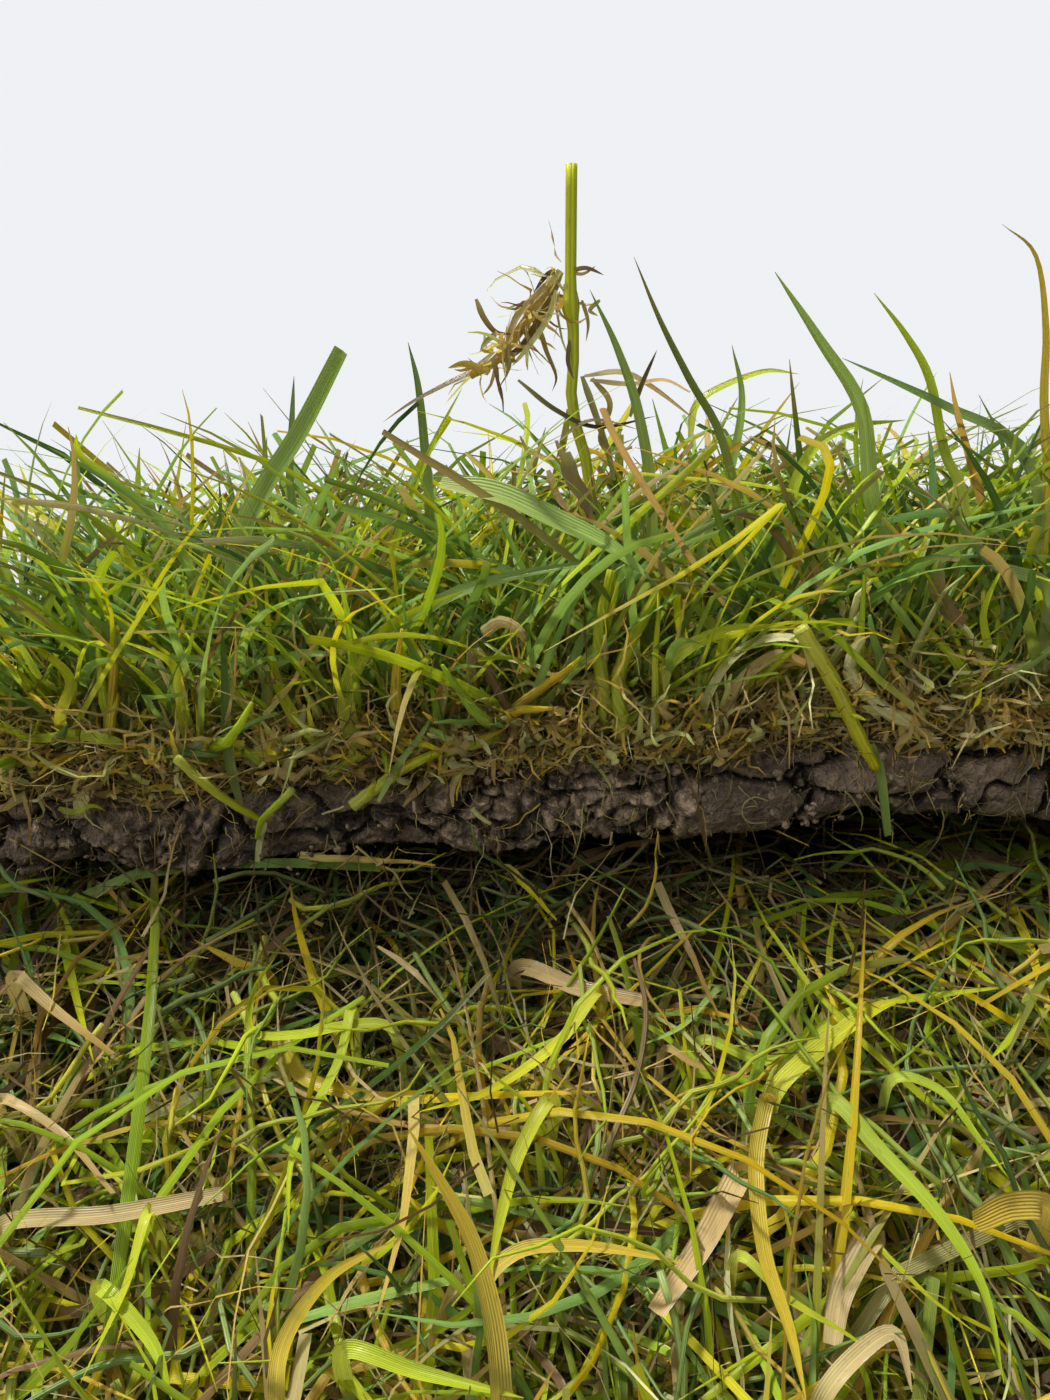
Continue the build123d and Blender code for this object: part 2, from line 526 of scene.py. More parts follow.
@dataclass(frozen=True)
class Habit:
    """How the grass of one patch grows, as ranges from least to most.

    back and side bound the patch, density is blades for each square centimetre, lengths and widths are in
    millimetres, the rises are the blade's angle off the ground at its root and at its tip in degrees, and
    heading is the way it leans, where 0 is away from the free end and 180 towards it. curl is the spread of
    its turn in degrees, kinked and mown are the shares of blades with a kink and with a cut tip, fill is the
    share of the canopy's depth that they reach, and even blades have neither a pale foot nor a dry tip.
    """

    name: str
    back: tuple[float, float]
    side: tuple[float, float]
    density: float
    length: tuple[float, float]
    width: tuple[float, float]
    root_rise: tuple[float, float]
    tip_rise: tuple[float, float]
    heading: tuple[float, float]
    tints: list[tuple[Tint, float]]
    segments: int = 5
    across: int = 2
    curl: float = 40.0
    kinked: float = 0.1
    mown: float = 0.3
    fill: tuple[float, float] = (0.7, 1.25)
    even: bool = False


@dataclass
class Grower:
    """Grows blades on the strip in its own coordinates, and carries them onto the winding.

    The canopy is a row of distances back in metres with the grass's depth at each in millimetres. Angles
    are in radians apart from the kink's, which is in degrees, and zones and tips are shares of a blade.
    """

    winding: Winding
    canopy_back: tuple[float, ...] = (-0.05, 0.0, 0.15, 0.30, 0.45, 0.545, 0.62, 0.74, 0.87, 0.94, 0.99, 1.10)
    canopy_deep: tuple[float, ...] = (54, 60, 62, 46, 26, 8.5, 12, 26, 30, 19, 9, 8)
    tuft: int = 4
    tuft_spread: float = 0.0016
    edge_gap: float = 0.001
    uneven: float = 0.25
    kink: float = 70.0
    kink_zone: tuple[float, float] = (0.3, 0.75)
    kink_drop: float = 0.7
    sunk: float = 0.0015
    roll: float = 0.9
    twist: float = 0.8
    foot_width: float = 0.55
    mown_tip: float = 0.62
    sharp_tip: float = 0.06
    keel: float = 0.16

    def canopy(self, back: np.ndarray) -> np.ndarray:
        """Depth of the grass at a distance back, in metres."""
        return np.interp(back, self.canopy_back, self.canopy_deep) * MM

    def scatter(self, habit: Habit, rng: np.random.Generator) -> tuple[np.ndarray, np.ndarray]:
        """Roots of a patch's blades: tufts on a jittered grid, and each blade a little off its tuft."""
        area = (habit.back[1] - habit.back[0]) * (habit.side[1] - habit.side[0]) * 1e4
        count = int(area * habit.density)
        tufts = max(count // self.tuft, 1)
        pick = rng.integers(0, tufts, count)
        back = spread(rng, *habit.back, tufts)[pick] + rng.normal(0, self.tuft_spread, count)
        side = spread(rng, *habit.side, tufts)[pick] + rng.normal(0, self.tuft_spread, count)
        half = self.winding.width / 2 - self.edge_gap
        return np.clip(back, *habit.back), np.clip(side, -half, half)

    def grow(self, habit: Habit, rng: np.random.Generator, surface: Surface) -> int:
        """Grow a patch of blades and add them to a surface.

        A blade's direction starts at its root rise and heading and turns evenly to its tip rise while its
        heading curls, so its path is the running sum of its directions. Heights are then pressed under the
        canopy by a hyperbolic tangent.

        Args:
            habit: how the patch grows.
            rng: the random numbers to draw from.
            surface: what the blades are added to.

        Returns:
            How many blades grew.
        """
        back, side = self.scatter(habit, rng)
        count = len(back)
        v = np.linspace(0, 1, habit.segments + 1)
        length = spread(rng, *habit.length, count) * MM
        length = length * (1 + self.uneven * rng.standard_normal(count).clip(-1.5, 1.5))
        root = np.radians(spread(rng, *habit.root_rise, count))
        tip = np.radians(spread(rng, *habit.tip_rise, count))
        heading = np.radians(spread(rng, *habit.heading, count))
        curl = np.radians(rng.normal(0, habit.curl, count))
        kink = np.radians(rng.normal(0, self.kink, count)) * (rng.random(count) < habit.kinked)
        bent = v > spread(rng, *self.kink_zone, count)[:, None]
        rise = root[:, None] + (tip - root)[:, None] * v**1.3 - self.kink_drop * np.abs(kink)[:, None] * bent
        head = heading[:, None] + curl[:, None] * v + kink[:, None] * bent
        step = np.stack([np.cos(rise) * np.cos(head), np.cos(rise) * np.sin(head), np.sin(rise)], axis=-1)
        step = step * (length / habit.segments)[:, None, None]
        path = np.cumsum(step, axis=1) - step[:, :1]
        path[..., 0] += back[:, None]
        path[..., 1] += side[:, None]
        deep = self.canopy(path[..., 0]) * spread(rng, *habit.fill, count)[:, None]
        path[..., 2] = deep * np.tanh(np.maximum(path[..., 2], 0) / deep) - self.sunk * (1 - v)
        roll = spread(rng, -self.roll, self.roll, count)[:, None]
        roll = roll + rng.normal(0, self.twist, count)[:, None] * v
        flat = np.stack([-np.sin(head), np.cos(head), np.zeros_like(head)], axis=-1)
        over = np.cross(unit(step), flat)
        across = flat * np.cos(roll)[..., None] + over * np.sin(roll)[..., None]
        mown = rng.random(count) < habit.mown
        point = np.where(mown, self.mown_tip, self.sharp_tip)[:, None]
        shape = np.minimum(1, self.foot_width + 3 * v) * (point + (1 - point) * (1 - v**3.0))
        width = spread(rng, *habit.width, count)[:, None] * MM * shape
        column = columns_of(habit.tints, count, rng)
        points = self.winding.place(path[..., 0], path[..., 1], path[..., 2])
        sides = self.winding.turned(path[..., 0], across)
        heights = EVEN_BLADE if habit.even else WHOLE_BLADE
        add_ribbons(surface, points, sides, width, self.keel, column, habit.across, heights)
        return count


@dataclass(frozen=True)
class Shading:
    """Makes nodes and links in one material's tree."""

    tree: bpy.types.NodeTree

    def node(self, kind: str, settings: dict | None = None, **inputs: Value) -> bpy.types.Node:
        """Add a node.

        Args:
            kind: the node's type.
            settings: its own properties by name.
            inputs: its sockets by name, with spaces as underscores, or as i and a number, each given a
                value or another node's output.

        Returns:
            The new node.
        """
        made = self.tree.nodes.new(kind)
        for name, value in (settings or {}).items():
            setattr(made, name, value)
        for name, value in inputs.items():
            numbered = name[0] == "i" and name[1:].isdigit()
            socket = made.inputs[int(name[1:])] if numbered else made.inputs[name.replace("_", " ")]
            if isinstance(value, bpy.types.NodeSocket):
                self.tree.links.new(value, socket)
            else:
                socket.default_value = value
        return made

    def math(self, operation: str, *values: Value) -> bpy.types.NodeSocket:
        """The result of a sum on one, two or three values."""
        inputs = {f"i{place}": value for place, value in enumerate(values)}
        return self.node("ShaderNodeMath", {"operation": operation}, **inputs).outputs[0]

    def mix(self, factor: Value, first: Value, second: Value, kind: str = "MIX") -> bpy.types.NodeSocket:
        """Two colours mixed by a factor."""
        settings = {"data_type": "RGBA", "blend_type": kind}
        return self.node("ShaderNodeMix", settings, i0=factor, i6=first, i7=second).outputs[2]

    def ramp(self, value: Value, stops: tuple[tuple[float, tuple], ...]) -> bpy.types.NodeSocket:
        """A colour read off a row of stops, each a place from 0 to 1 and a colour."""
        made = self.node("ShaderNodeValToRGB", Fac=value)
        while len(made.color_ramp.elements) < len(stops):
            made.color_ramp.elements.new(0.5)
        for element, (place, colour) in zip(made.color_ramp.elements, stops):
            element.position = place
            element.color = (*colour, 1)
        return made.outputs[0]

    def noise(self, where: Value, scale: float = 1.0, detail: float = 3.0) -> bpy.types.NodeSocket:
        """Noise from about 0.25 to 0.75 at a scale of cells for each unit."""
        return self.node("ShaderNodeTexNoise", None, Vector=where, Scale=scale, Detail=detail).outputs[0]

    def span(
        self,
        value: Value,
        low: Value,
        high: Value,
        start: float = 0.0,
        end: float = 1.0,
        easing: str = "LINEAR",
    ) -> bpy.types.NodeSocket:
        """A value carried over from the range low to high to the range start to end, and kept in it."""
        settings = {"interpolation_type": easing}
        made = self.node("ShaderNodeMapRange", settings, i0=value, i1=low, i2=high, i3=start, i4=end)
        return made.outputs[0]

    def grey(self, value: Value) -> bpy.types.NodeSocket:
        """A grey of a given brightness."""
        return self.node("ShaderNodeCombineColor", Red=value, Green=value, Blue=value).outputs[0]

    def stretched(self, across: Value, along: Value, scales: tuple[float, float]) -> bpy.types.NodeSocket:
        """Two texture places, each times its own scale, as a place for a noise."""
        x, y = (self.math("MULTIPLY", place, scale) for place, scale in zip((across, along), scales))
        return self.node("ShaderNodeCombineXYZ", X=x, Y=y).outputs[0]

    def map_parts(self, uv_map: str) -> tuple[bpy.types.NodeSocket, bpy.types.NodeSocket]:
        """The two numbers of a texture map."""
        place = self.node("ShaderNodeUVMap", {"uv_map": uv_map}).outputs[0]
        split = self.node("ShaderNodeSeparateXYZ", Vector=place).outputs
        return split[0], split[1]


def new_material(name: str) -> tuple[bpy.types.Material, Shading, bpy.types.Node]:
    """A bare material, the maker of its nodes and its output node."""
    material = bpy.data.materials.new(name)
    material.use_nodes = True
    material.node_tree.nodes.clear()
    shading = Shading(material.node_tree)
    return material, shading, shading.node("ShaderNodeOutputMaterial")


@dataclass(frozen=True)
class LeafFinish:
    """Grass blades: a colour for each column, paler at the root, browner at the tip, with fine veins.

    foot, turning, freckle and dry are the colours of the pale root, the yellowing end, the spots and the
    dead tip. veins is radians of a sine across a column, rib is half the midrib as a share of it, and each
    spots pair scales a noise across and along the blade.
    """

    name: str = "leaf"
    roughness: float = 0.29
    gloss: float = 0.22
    see_through: float = 0.32
    shine_through: tuple = (1.25, 1.15, 0.75, 1)
    foot: tuple = (0.66, 0.66, 0.26, 1)
    turning: tuple = (0.86, 0.66, 0.02, 1)
    freckle: tuple = (0.30, 0.20, 0.07, 1)
    dry: tuple = ((0.0, (0.50, 0.40, 0.14)), (0.6, (0.45, 0.31, 0.13)), (1.0, (0.24, 0.13, 0.06)))
    veins: float = 62.0
    rib: float = 0.045
    relief: float = 0.0003
    broad_spots: tuple[float, float] = (2.6, 7.0)
    fine_spots: tuple[float, float] = (9.0, 46.0)
    stops: tuple = (
        (0.00, (0.048, 0.105, 0.022)),
        (0.14, (0.105, 0.215, 0.044)),
        (0.25, (0.220, 0.380, 0.080)),
        (0.36, (0.360, 0.540, 0.120)),
        (0.38, (0.330, 0.500, 0.026)),
        (0.47, (0.480, 0.630, 0.020)),
        (0.55, (0.700, 0.740, 0.024)),
        (0.60, (0.860, 0.660, 0.020)),
        (0.66, (0.780, 0.540, 0.080)),
        (0.72, (0.780, 0.600, 0.280)),
        (0.77, (0.620, 0.420, 0.180)),
        (0.80, (0.360, 0.230, 0.105)),
        (0.86, (0.200, 0.118, 0.055)),
        (0.89, (0.640, 0.680, 0.220)),
        (0.93, (0.760, 0.720, 0.420)),
        (0.95, (0.120, 0.066, 0.036)),
        (1.00, (0.065, 0.040, 0.024)),
    )

    def make(self) -> bpy.types.Material:
        """Build the material. It reads only the blades' own texture map."""
        material, shade, output = new_material(self.name)
        u, along = shade.map_parts(BAKE_MAP)
        scaled = shade.math("MULTIPLY", u, float(COLUMNS))
        column = shade.math("FLOOR", scaled)
        across = shade.math("FRACT", scaled)
        random = shade.node("ShaderNodeTexWhiteNoise", {"noise_dimensions": "1D"}, W=column)
        own = shade.node("ShaderNodeSeparateColor", Color=random.outputs[1]).outputs
        base = shade.ramp(shade.math("DIVIDE", column, float(COLUMNS - 1)), self.stops)
        blotch = shade.noise(shade.stretched(scaled, along, self.broad_spots), detail=4.0)
        freckles = shade.noise(shade.stretched(scaled, along, self.fine_spots), detail=2.0)
        lit = shade.math("MULTIPLY_ADD", own[0], 0.5, 0.72)
        lit = shade.math("MULTIPLY", lit, shade.math("MULTIPLY_ADD", blotch, 0.7, 0.65))
        veins = shade.math("SINE", shade.math("MULTIPLY", across, self.veins))
        middle = shade.math("ABSOLUTE", shade.math("SUBTRACT", across, 0.5))
        rib = shade.math("LESS_THAN", middle, self.rib)
        lined = shade.math("MULTIPLY_ADD", veins, 0.07, lit)
        lined = shade.math("MULTIPLY_ADD", rib, 0.16, lined)
        tone = shade.mix(1.0, base, shade.grey(lined), "MULTIPLY")
        rooted = shade.math("POWER", shade.math("SUBTRACT", 1.0, along), 5.0)
        colour = shade.mix(shade.math("MULTIPLY", rooted, 0.6), tone, self.foot)
        dead_from = shade.math("MULTIPLY_ADD", own[1], 1.3, 0.5)
        turning_from = shade.math("SUBTRACT", dead_from, 0.35)
        turned = shade.span(shade.math("MULTIPLY_ADD", blotch, 0.3, along), turning_from, dead_from)
        colour = shade.mix(shade.math("MULTIPLY", turned, 0.6), colour, self.turning, "MULTIPLY")
        speck = shade.ramp(freckles, ((0.64, (0, 0, 0)), (0.71, (1, 1, 1))))
        colour = shade.mix(shade.math("MULTIPLY", speck, 0.5), colour, self.freckle)
        dead_at = shade.math("ADD", dead_from, 0.3)
        dead = shade.span(shade.math("MULTIPLY_ADD", blotch, 0.25, along), dead_from, dead_at)
        colour = shade.mix(shade.math("MULTIPLY", dead, 0.8), colour, shade.ramp(own[2], self.dry))
        ridges = shade.math("MULTIPLY_ADD", rib, -1.0, veins)
        bump = shade.node("ShaderNodeBump", None, Strength=0.35, Distance=self.relief, Height=ridges)
        skin = shade.node(
            "ShaderNodeBsdfPrincipled",
            None,
            Base_Color=colour,
            Roughness=self.roughness,
            Specular_IOR_Level=self.gloss,
            Normal=bump.outputs[0],
        )
        passed = shade.mix(1.0, colour, self.shine_through, "MULTIPLY")
        glow = shade.node("ShaderNodeBsdfTranslucent", None, Color=passed)
        mixed = shade.node(
            "ShaderNodeMixShader", None, i0=self.see_through, i1=skin.outputs[0], i2=glow.outputs[0]
        )
        shade.tree.links.new(mixed.outputs[0], output.inputs[0])
        return material


@dataclass(frozen=True)
class SoilFinish:
    """Moist clay soil under a brown mat of thatch, told apart by the height above the strip's underside.

    clay and mat are the colours of the soil and of the thatch, from dark to light. The crumb colour is that
    of pale dry crumbs, spotted over the crumbly soil, and it also stands in for painted highlights on lit
    crumbs. The shadow colour is painted shade: a near-black laid over the thatch's top in place of the
    grass's shadow on it. The two edges are the heights over which soil gives way to thatch and thatch to
    that painted shade, all in metres.
    """

    name: str = "soil"
    gloss: float = 0.3
    relief: float = 0.0026
    thatch_edge: tuple[float, float] = (0.0153, 0.0187)
    shade_edge: tuple[float, float] = (0.0205, 0.0214)
    clay: tuple = ((0.3, (0.072, 0.053, 0.040)), (0.52, (0.155, 0.114, 0.083)), (0.7, (0.31, 0.228, 0.162)))
    mat: tuple = (
        (0.3, (0.036, 0.022, 0.012)),
        (0.46, (0.13, 0.082, 0.042)),
        (0.58, (0.34, 0.23, 0.115)),
        (0.72, (0.66, 0.50, 0.27)),
    )
    # Pale dry crumbs, which also stand in for painted highlights on lit crumbs
    crumbled: tuple = (0.56, 0.42, 0.29, 1)
    painted_grass_shadow: tuple = (0.022, 0.016, 0.010, 1)
    # Painted shade and highlights: how dark the soil's low parts and how light its proud parts turn
    relief_shade_range: tuple[float, float] = (0.25, 1.95)
    roughness: tuple[float, float] = (0.38, 0.85)
    fibre_scale: tuple[float, float, float] = (90, 90, 700)

    def make(self) -> bpy.types.Material:
        """Build the material. Its texture map holds how broken the soil is and how far it stands out."""
        material, shade, output = new_material(self.name)
        place = shade.node("ShaderNodeTexCoord").outputs["Object"]
        layer = shade.node("ShaderNodeAttribute", {"attribute_name": "layer"}).outputs["Fac"]
        loose, proud = shade.map_parts(STRIP_MAP)
        broad = shade.noise(place, 60.0, 4.0)
        fine = shade.noise(place, 420.0, 5.0)
        grains = shade.noise(place, 1500.0, 2.0)
        stone = shade.noise(place, 900.0)
        # Pale dry crumbs in noisy spots on crumbly soil, also standing in for painted highlights
        crust = shade.ramp(fine, ((0.42, (0, 0, 0)), (0.66, (1, 1, 1))))
        dust_and_highlights = shade.math("MULTIPLY", crust, shade.math("MULTIPLY_ADD", loose, 0.70, 0.20))
        clay = shade.mix(dust_and_highlights, shade.ramp(broad, self.clay), self.crumbled)
        # Painted shade and highlights: the soil darkens low in cracks and lightens where it stands out
        relief_shade = shade.span(shade.math("MULTIPLY_ADD", stone, 0.5, proud), 0.35, 1.05, *self.relief_shade_range)
        clay = shade.mix(1.0, clay, shade.grey(relief_shade), "MULTIPLY")
        drawn_out = shade.node("ShaderNodeMapping", None, Vector=place, Scale=self.fibre_scale)
        fibres = shade.noise(drawn_out.outputs[0], detail=5.0)
        edge = shade.span(shade.math("MULTIPLY_ADD", broad, 0.008, layer), *self.thatch_edge)
        colour = shade.mix(edge, clay, shade.ramp(fibres, self.mat))
        # Painted shade: the thatch's top turns near-black in place of the grass's shadow on it
        grass_shadow_mask = shade.span(layer, *self.shade_edge, 0.0, 0.88)
        colour = shade.mix(grass_shadow_mask, colour, self.painted_grass_shadow)
        wet = shade.span(fine, 0.35, 0.65, *self.roughness)
        rough = shade.math("MAXIMUM", wet, shade.math("MULTIPLY", edge, 0.9))
        height = shade.math("ADD", fine, shade.math("MULTIPLY", fibres, edge))
        height = shade.math("MULTIPLY_ADD", grains, 0.35, height)
        bump = shade.node("ShaderNodeBump", None, Strength=1.0, Distance=self.relief, Height=height)
        skin = shade.node(
            "ShaderNodeBsdfPrincipled",
            None,
            Base_Color=colour,
            Roughness=rough,
            Specular_IOR_Level=self.gloss,
            Normal=bump.outputs[0],
        )
        shade.tree.links.new(skin.outputs[0], output.inputs[0])
        return material


# Millimetres that each kind of relief adds: where the soil was sheared, where it crumbles, and in the thatch
SHEARED = {"slab": 1.3, "crack": -2.8, "lump": 0.2, "grit": 0.10, "clod": 0.25}
BROKEN = {"slab": 0.8, "crack": -1.6, "clod": 1.2, "cleft": -1.5, "crumb": 0.8, "chink": -0.6}
BROKEN |= {"lump": 0.7, "grit": 0.35}
THATCHED = {"lump": 1.2, "clod": 0.9, "crumb": 0.6, "level": -0.6}


@dataclass(frozen=True)
class Crumbs:
    """One lot of crumbs: its name and count, least and greatest radius in millimetres, and where it lies.

    back and height bound their places on the strip in metres, and clinging crumbs take the soil's layer.
    """

    name: str
    count: int
    size: tuple[float, float]
    back: tuple[float, float]
    height: tuple[float, float]
    clinging: bool


@dataclass
class TurfMat:
    """The wound strip of soil and thatch: its rough sides, its rough free end and its crumbs.

    The cell sizes are those of the slabs, clods, crumbs, lumps and grit that the relief is made of, and the
    gaps between the first three are shares of their cells. level is the bulge that lies in the cut's plane.
    """

    winding: Winding
    soil: bpy.types.Material
    side_step: float = 0.0026
    end_depth: float = 0.060
    fine_columns: int = 470
    plain_columns: int = 110
    fine_until: float = -0.010
    sheet_rows: tuple[int, int] = (14, 54)
    deep_points: int = 11
    flat_points: int = 7
    crumbled_at: float = -0.112
    crumbled_reach: float = 0.034
    deepest: float = 0.0045
    level: float = 0.0011
    slab_size: float = 0.0125
    slab_stretch: tuple[float, float, float] = (0.62, 1, 1.0)
    slab_gap: float = 0.045
    clod_size: float = 0.0052
    clod_gap: float = 0.12
    crumb_size: float = 0.0024
    crumb_gap: float = 0.2
    lump_size: float = 0.010
    grit_size: float = 0.0017
    shelf: float = 0.0022
    undercut: float = 0.0030
    ragged: float = 0.0016
    nests: int = 16
    nested: float = 0.6
    nest_spread: tuple[float, float] = (0.0034, 0.0016)
    hanging_clump: float = -0.1425
    crumbs: tuple[Crumbs, ...] = (
        Crumbs("crumbs_cut", 460, (0.18, 0.85), (-0.0030, 0.0015), (-0.0215, -0.0065), True),
        Crumbs("crumbs_fallen", 60, (0.3, 1.2), (0.935, 1.0), (0.0, 0.006), False),
    )

    def crumbly(self, points: np.ndarray) -> np.ndarray:
        """How broken the soil is at each place, from 0 where it was sheared smooth to 1 where it crumbles.

        It is slow noise, raised by a bell curve over the stretch of the free end that crumbled most.
        """
        broken = np.exp(-(((points[..., 0] - self.crumbled_at) / self.crumbled_reach) ** 2))
        return np.clip(0.25 + 0.75 * broken + 1.1 * layered_noise(points, 0.022, 140, 2), 0, 1)

    def relief(self, points: np.ndarray, layer: np.ndarray) -> np.ndarray:
        """Outward bulge of the mat: flat slabs with deep cracks between them, and clods where it crumbles.

        Each kind of relief is worked out by itself, and the soil and the thatch add them up by their weights.

        Args:
            points: places on the smooth strip.
            layer: height above the strip's underside at each place.

        Returns:
            The bulge in metres.
        """
        warp = np.stack([layered_noise(points, 0.012, seed) for seed in (61, 67, 73)], axis=-1)
        warped = points + 0.004 * warp
        slab_gap, slab = clods(warped * np.array(self.slab_stretch), self.slab_size, 3)
        clod_gap, clod = clods(warped, self.clod_size, 21)
        crumb_gap, crumb = clods(points, self.crumb_size, 33)
        kinds = {
            "slab": slab,
            "clod": clod,
            "crumb": crumb,
            "crack": np.exp(-((slab_gap / self.slab_gap) ** 2)),
            "cleft": np.exp(-((clod_gap / self.clod_gap) ** 2)),
            "chink": np.exp(-((crumb_gap / self.crumb_gap) ** 2)),
            "lump": layered_noise(points, self.lump_size, 40),
            "grit": layered_noise(points, self.grit_size, 160, 2),
            "level": np.ones_like(slab),
        }
        sheared, broken, matted = (
            sum(weight * kinds[kind] for kind, weight in weights.items())
            for weights in (SHEARED, BROKEN, THATCHED)
        )
        loose = self.crumbly(points)
        thatch = np.clip((layer - self.winding.soil) / 0.003, 0, 1)
        soil = sheared * (1 - loose) + broken * loose
        return (soil * (1 - thatch) + matted * thatch) * MM

    def marks(self, points: np.ndarray, bulge: np.ndarray) -> np.ndarray:
        """Texture places of a sheet: how broken the soil is, and how far it stands out, both from 0 to 1."""
        # The soil's finish paints shade in the cracks and highlights on proud parts from the second mark
        return np.stack([self.crumbly(points), np.clip(0.55 + bulge / self.deepest, 0, 1)], axis=-1)

    def wound_sides(self) -> bpy.types.Object:
        """The strip behind its free end: rings round its section, carried from the bore outwards.

        A ring runs up the right side, over the top, down the left side and back under the strip. The last
        ring is closed by a cap between its two sides.
        """
        wind = self.winding
        along = wind.knots()[3]
        back = np.arange(self.end_depth - 0.004, along[0], self.side_step)
        half = wind.width / 2
        many = self.deep_points
        deep = np.linspace(0, wind.mat, many)
        flat = np.linspace(-half, half, self.flat_points)[1:-1]
        side = np.concatenate([np.full(many, half), flat[::-1], np.full(many, -half), flat])
        level = np.full(len(flat), 1.0)
        layer = np.concatenate([deep, wind.mat * level, deep[::-1], 0.0 * level])
        back, side, layer = back[:, None], side[None, :], layer[None, :]
        inward = np.clip(np.abs(np.sin(pi * layer / wind.mat)), 0.25, 1)
        points = wind.place(back, side, layer - wind.mat)
        bulge = self.relief(points, np.broadcast_to(layer, points.shape[:2]))
        at_side = np.abs(side) > half - 1e-6
        outward = (bulge - self.level) * inward
        points[..., 0] += np.where(at_side, np.sign(side) * outward, 0)
        uv = self.marks(points, bulge)
        surface = Surface()
        surface.add(points[None], uv[None], wrap=True, layer=np.broadcast_to(layer, points.shape[:2])[None])
        left = many + len(flat)
        cap = np.stack([points[-1, :many], points[-1, left : left + many][::-1]], axis=0)
        surface.add(cap[None], np.full((1, 2, many, 2), 0.5), layer=np.stack([deep, deep])[None])
        return surface.build("wound_strip", self.soil, "soil")

    def end_wall(self, sheet: np.ndarray, sign: int, surface: Surface) -> None:
        """Close one side of the free end: a Coons patch between the sheet's edges, with relief added inside.

        Args:
            sheet: the free end's sheet, as an array of side, ring and three numbers.
            sign: 1 for the right side and -1 for the left.
            surface: what the wall is added to.
        """
        edge = sheet[-1 if sign > 0 else 0]
        rows, deep = self.sheet_rows
        under, cut, over = edge[:rows][::-1], edge[rows : rows + deep], edge[rows + deep :]
        b = np.linspace(0, 1, rows)[:, None, None]
        d = np.linspace(0, 1, deep)[None, :, None]
        inner = under[-1] * (1 - d[0]) + over[-1] * d[0]
        ruled = under[:, None] * (1 - d) + over[:, None] * d
        crossed = cut[None] * (1 - b) + inner[None] * b
        corners = (1 - b) * ((1 - d) * under[0] + d * over[0]) + b * ((1 - d) * under[-1] + d * over[-1])
        wall = ruled + crossed - corners
        layer = np.broadcast_to(d[..., 0] * self.winding.mat, wall.shape[:2])
        bulge = (self.relief(wall, layer) - self.level) * np.sin(pi * d[..., 0])
        wall[..., 0] += sign * (bulge * np.sin(pi * np.clip(b[..., 0] * 3, 0, 0.5)))
        grid = wall[:, ::-1] if sign > 0 else wall
        levels = layer[:, ::-1] if sign > 0 else layer
        surface.add(grid[None], np.full((1, rows, deep, 2), 0.5), layer=levels[None])

    def free_end(self) -> bpy.types.Object:
        """The free end: one sheet carried from its underside round the cut face and back over its top.

        The cut face stands out by the bulge, softened towards its edges, less a shelf and an undercut.
        """
        wind = self.winding
        half = wind.width / 2
        fine = np.linspace(-half, self.fine_until, self.fine_columns)
        plain = np.linspace(self.fine_until + 0.001, half, self.plain_columns)
        side = np.append(fine, plain)[:, None]
        rows, deep_rows = self.sheet_rows
        under = self.end_depth * np.linspace(1, 0.12, rows) ** 1.3
        deep = np.linspace(0, wind.mat, deep_rows)
        over = under[::-1]
        back = np.concatenate([under, np.zeros(deep_rows), over])[None, :]
        layer = np.concatenate([np.zeros(rows), deep, np.full(rows, wind.mat)])[None, :]
        points = wind.place(back, side, layer - wind.mat)
        bulge = self.relief(points, np.broadcast_to(layer, points.shape[:2]))
        facing = np.concatenate([np.zeros(rows), np.ones(deep_rows), np.zeros(rows)])
        softened = np.minimum(1, np.minimum(layer, wind.mat - layer) / 0.003 + 0.25)
        shelf = self.shelf * np.clip((layer - wind.soil + 0.002) / 0.004, 0, 1)
        undercut = self.undercut * np.clip(1 - layer / 0.005, 0, 1) ** 1.5
        points[..., 1] -= (1.3 * bulge * softened - shelf - undercut) * facing
        fade = np.clip((self.end_depth - back) / 0.01, 0, 1)
        below = np.where(layer == 0, -bulge * fade * 1.2, 0)
        above = np.where(layer == wind.mat, bulge * fade, 0)
        places = np.stack(np.broadcast_arrays(side, 0 * side, 0 * side), -1)
        edge = layered_noise(places, 0.016, 60) * self.ragged
        hang = np.where(layer < 0.004, edge * np.clip(1 - back / 0.02, 0, 1), 0)
        points[..., 2] += below + above - hang
        uv = self.marks(points, bulge)
        surface = Surface()
        surface.add(points[None], uv[None], layer=np.broadcast_to(layer, points.shape[:2])[None])
        self.end_wall(points, 1, surface)
        self.end_wall(points, -1, surface)
        return surface.build("free_end", self.soil, "soil")

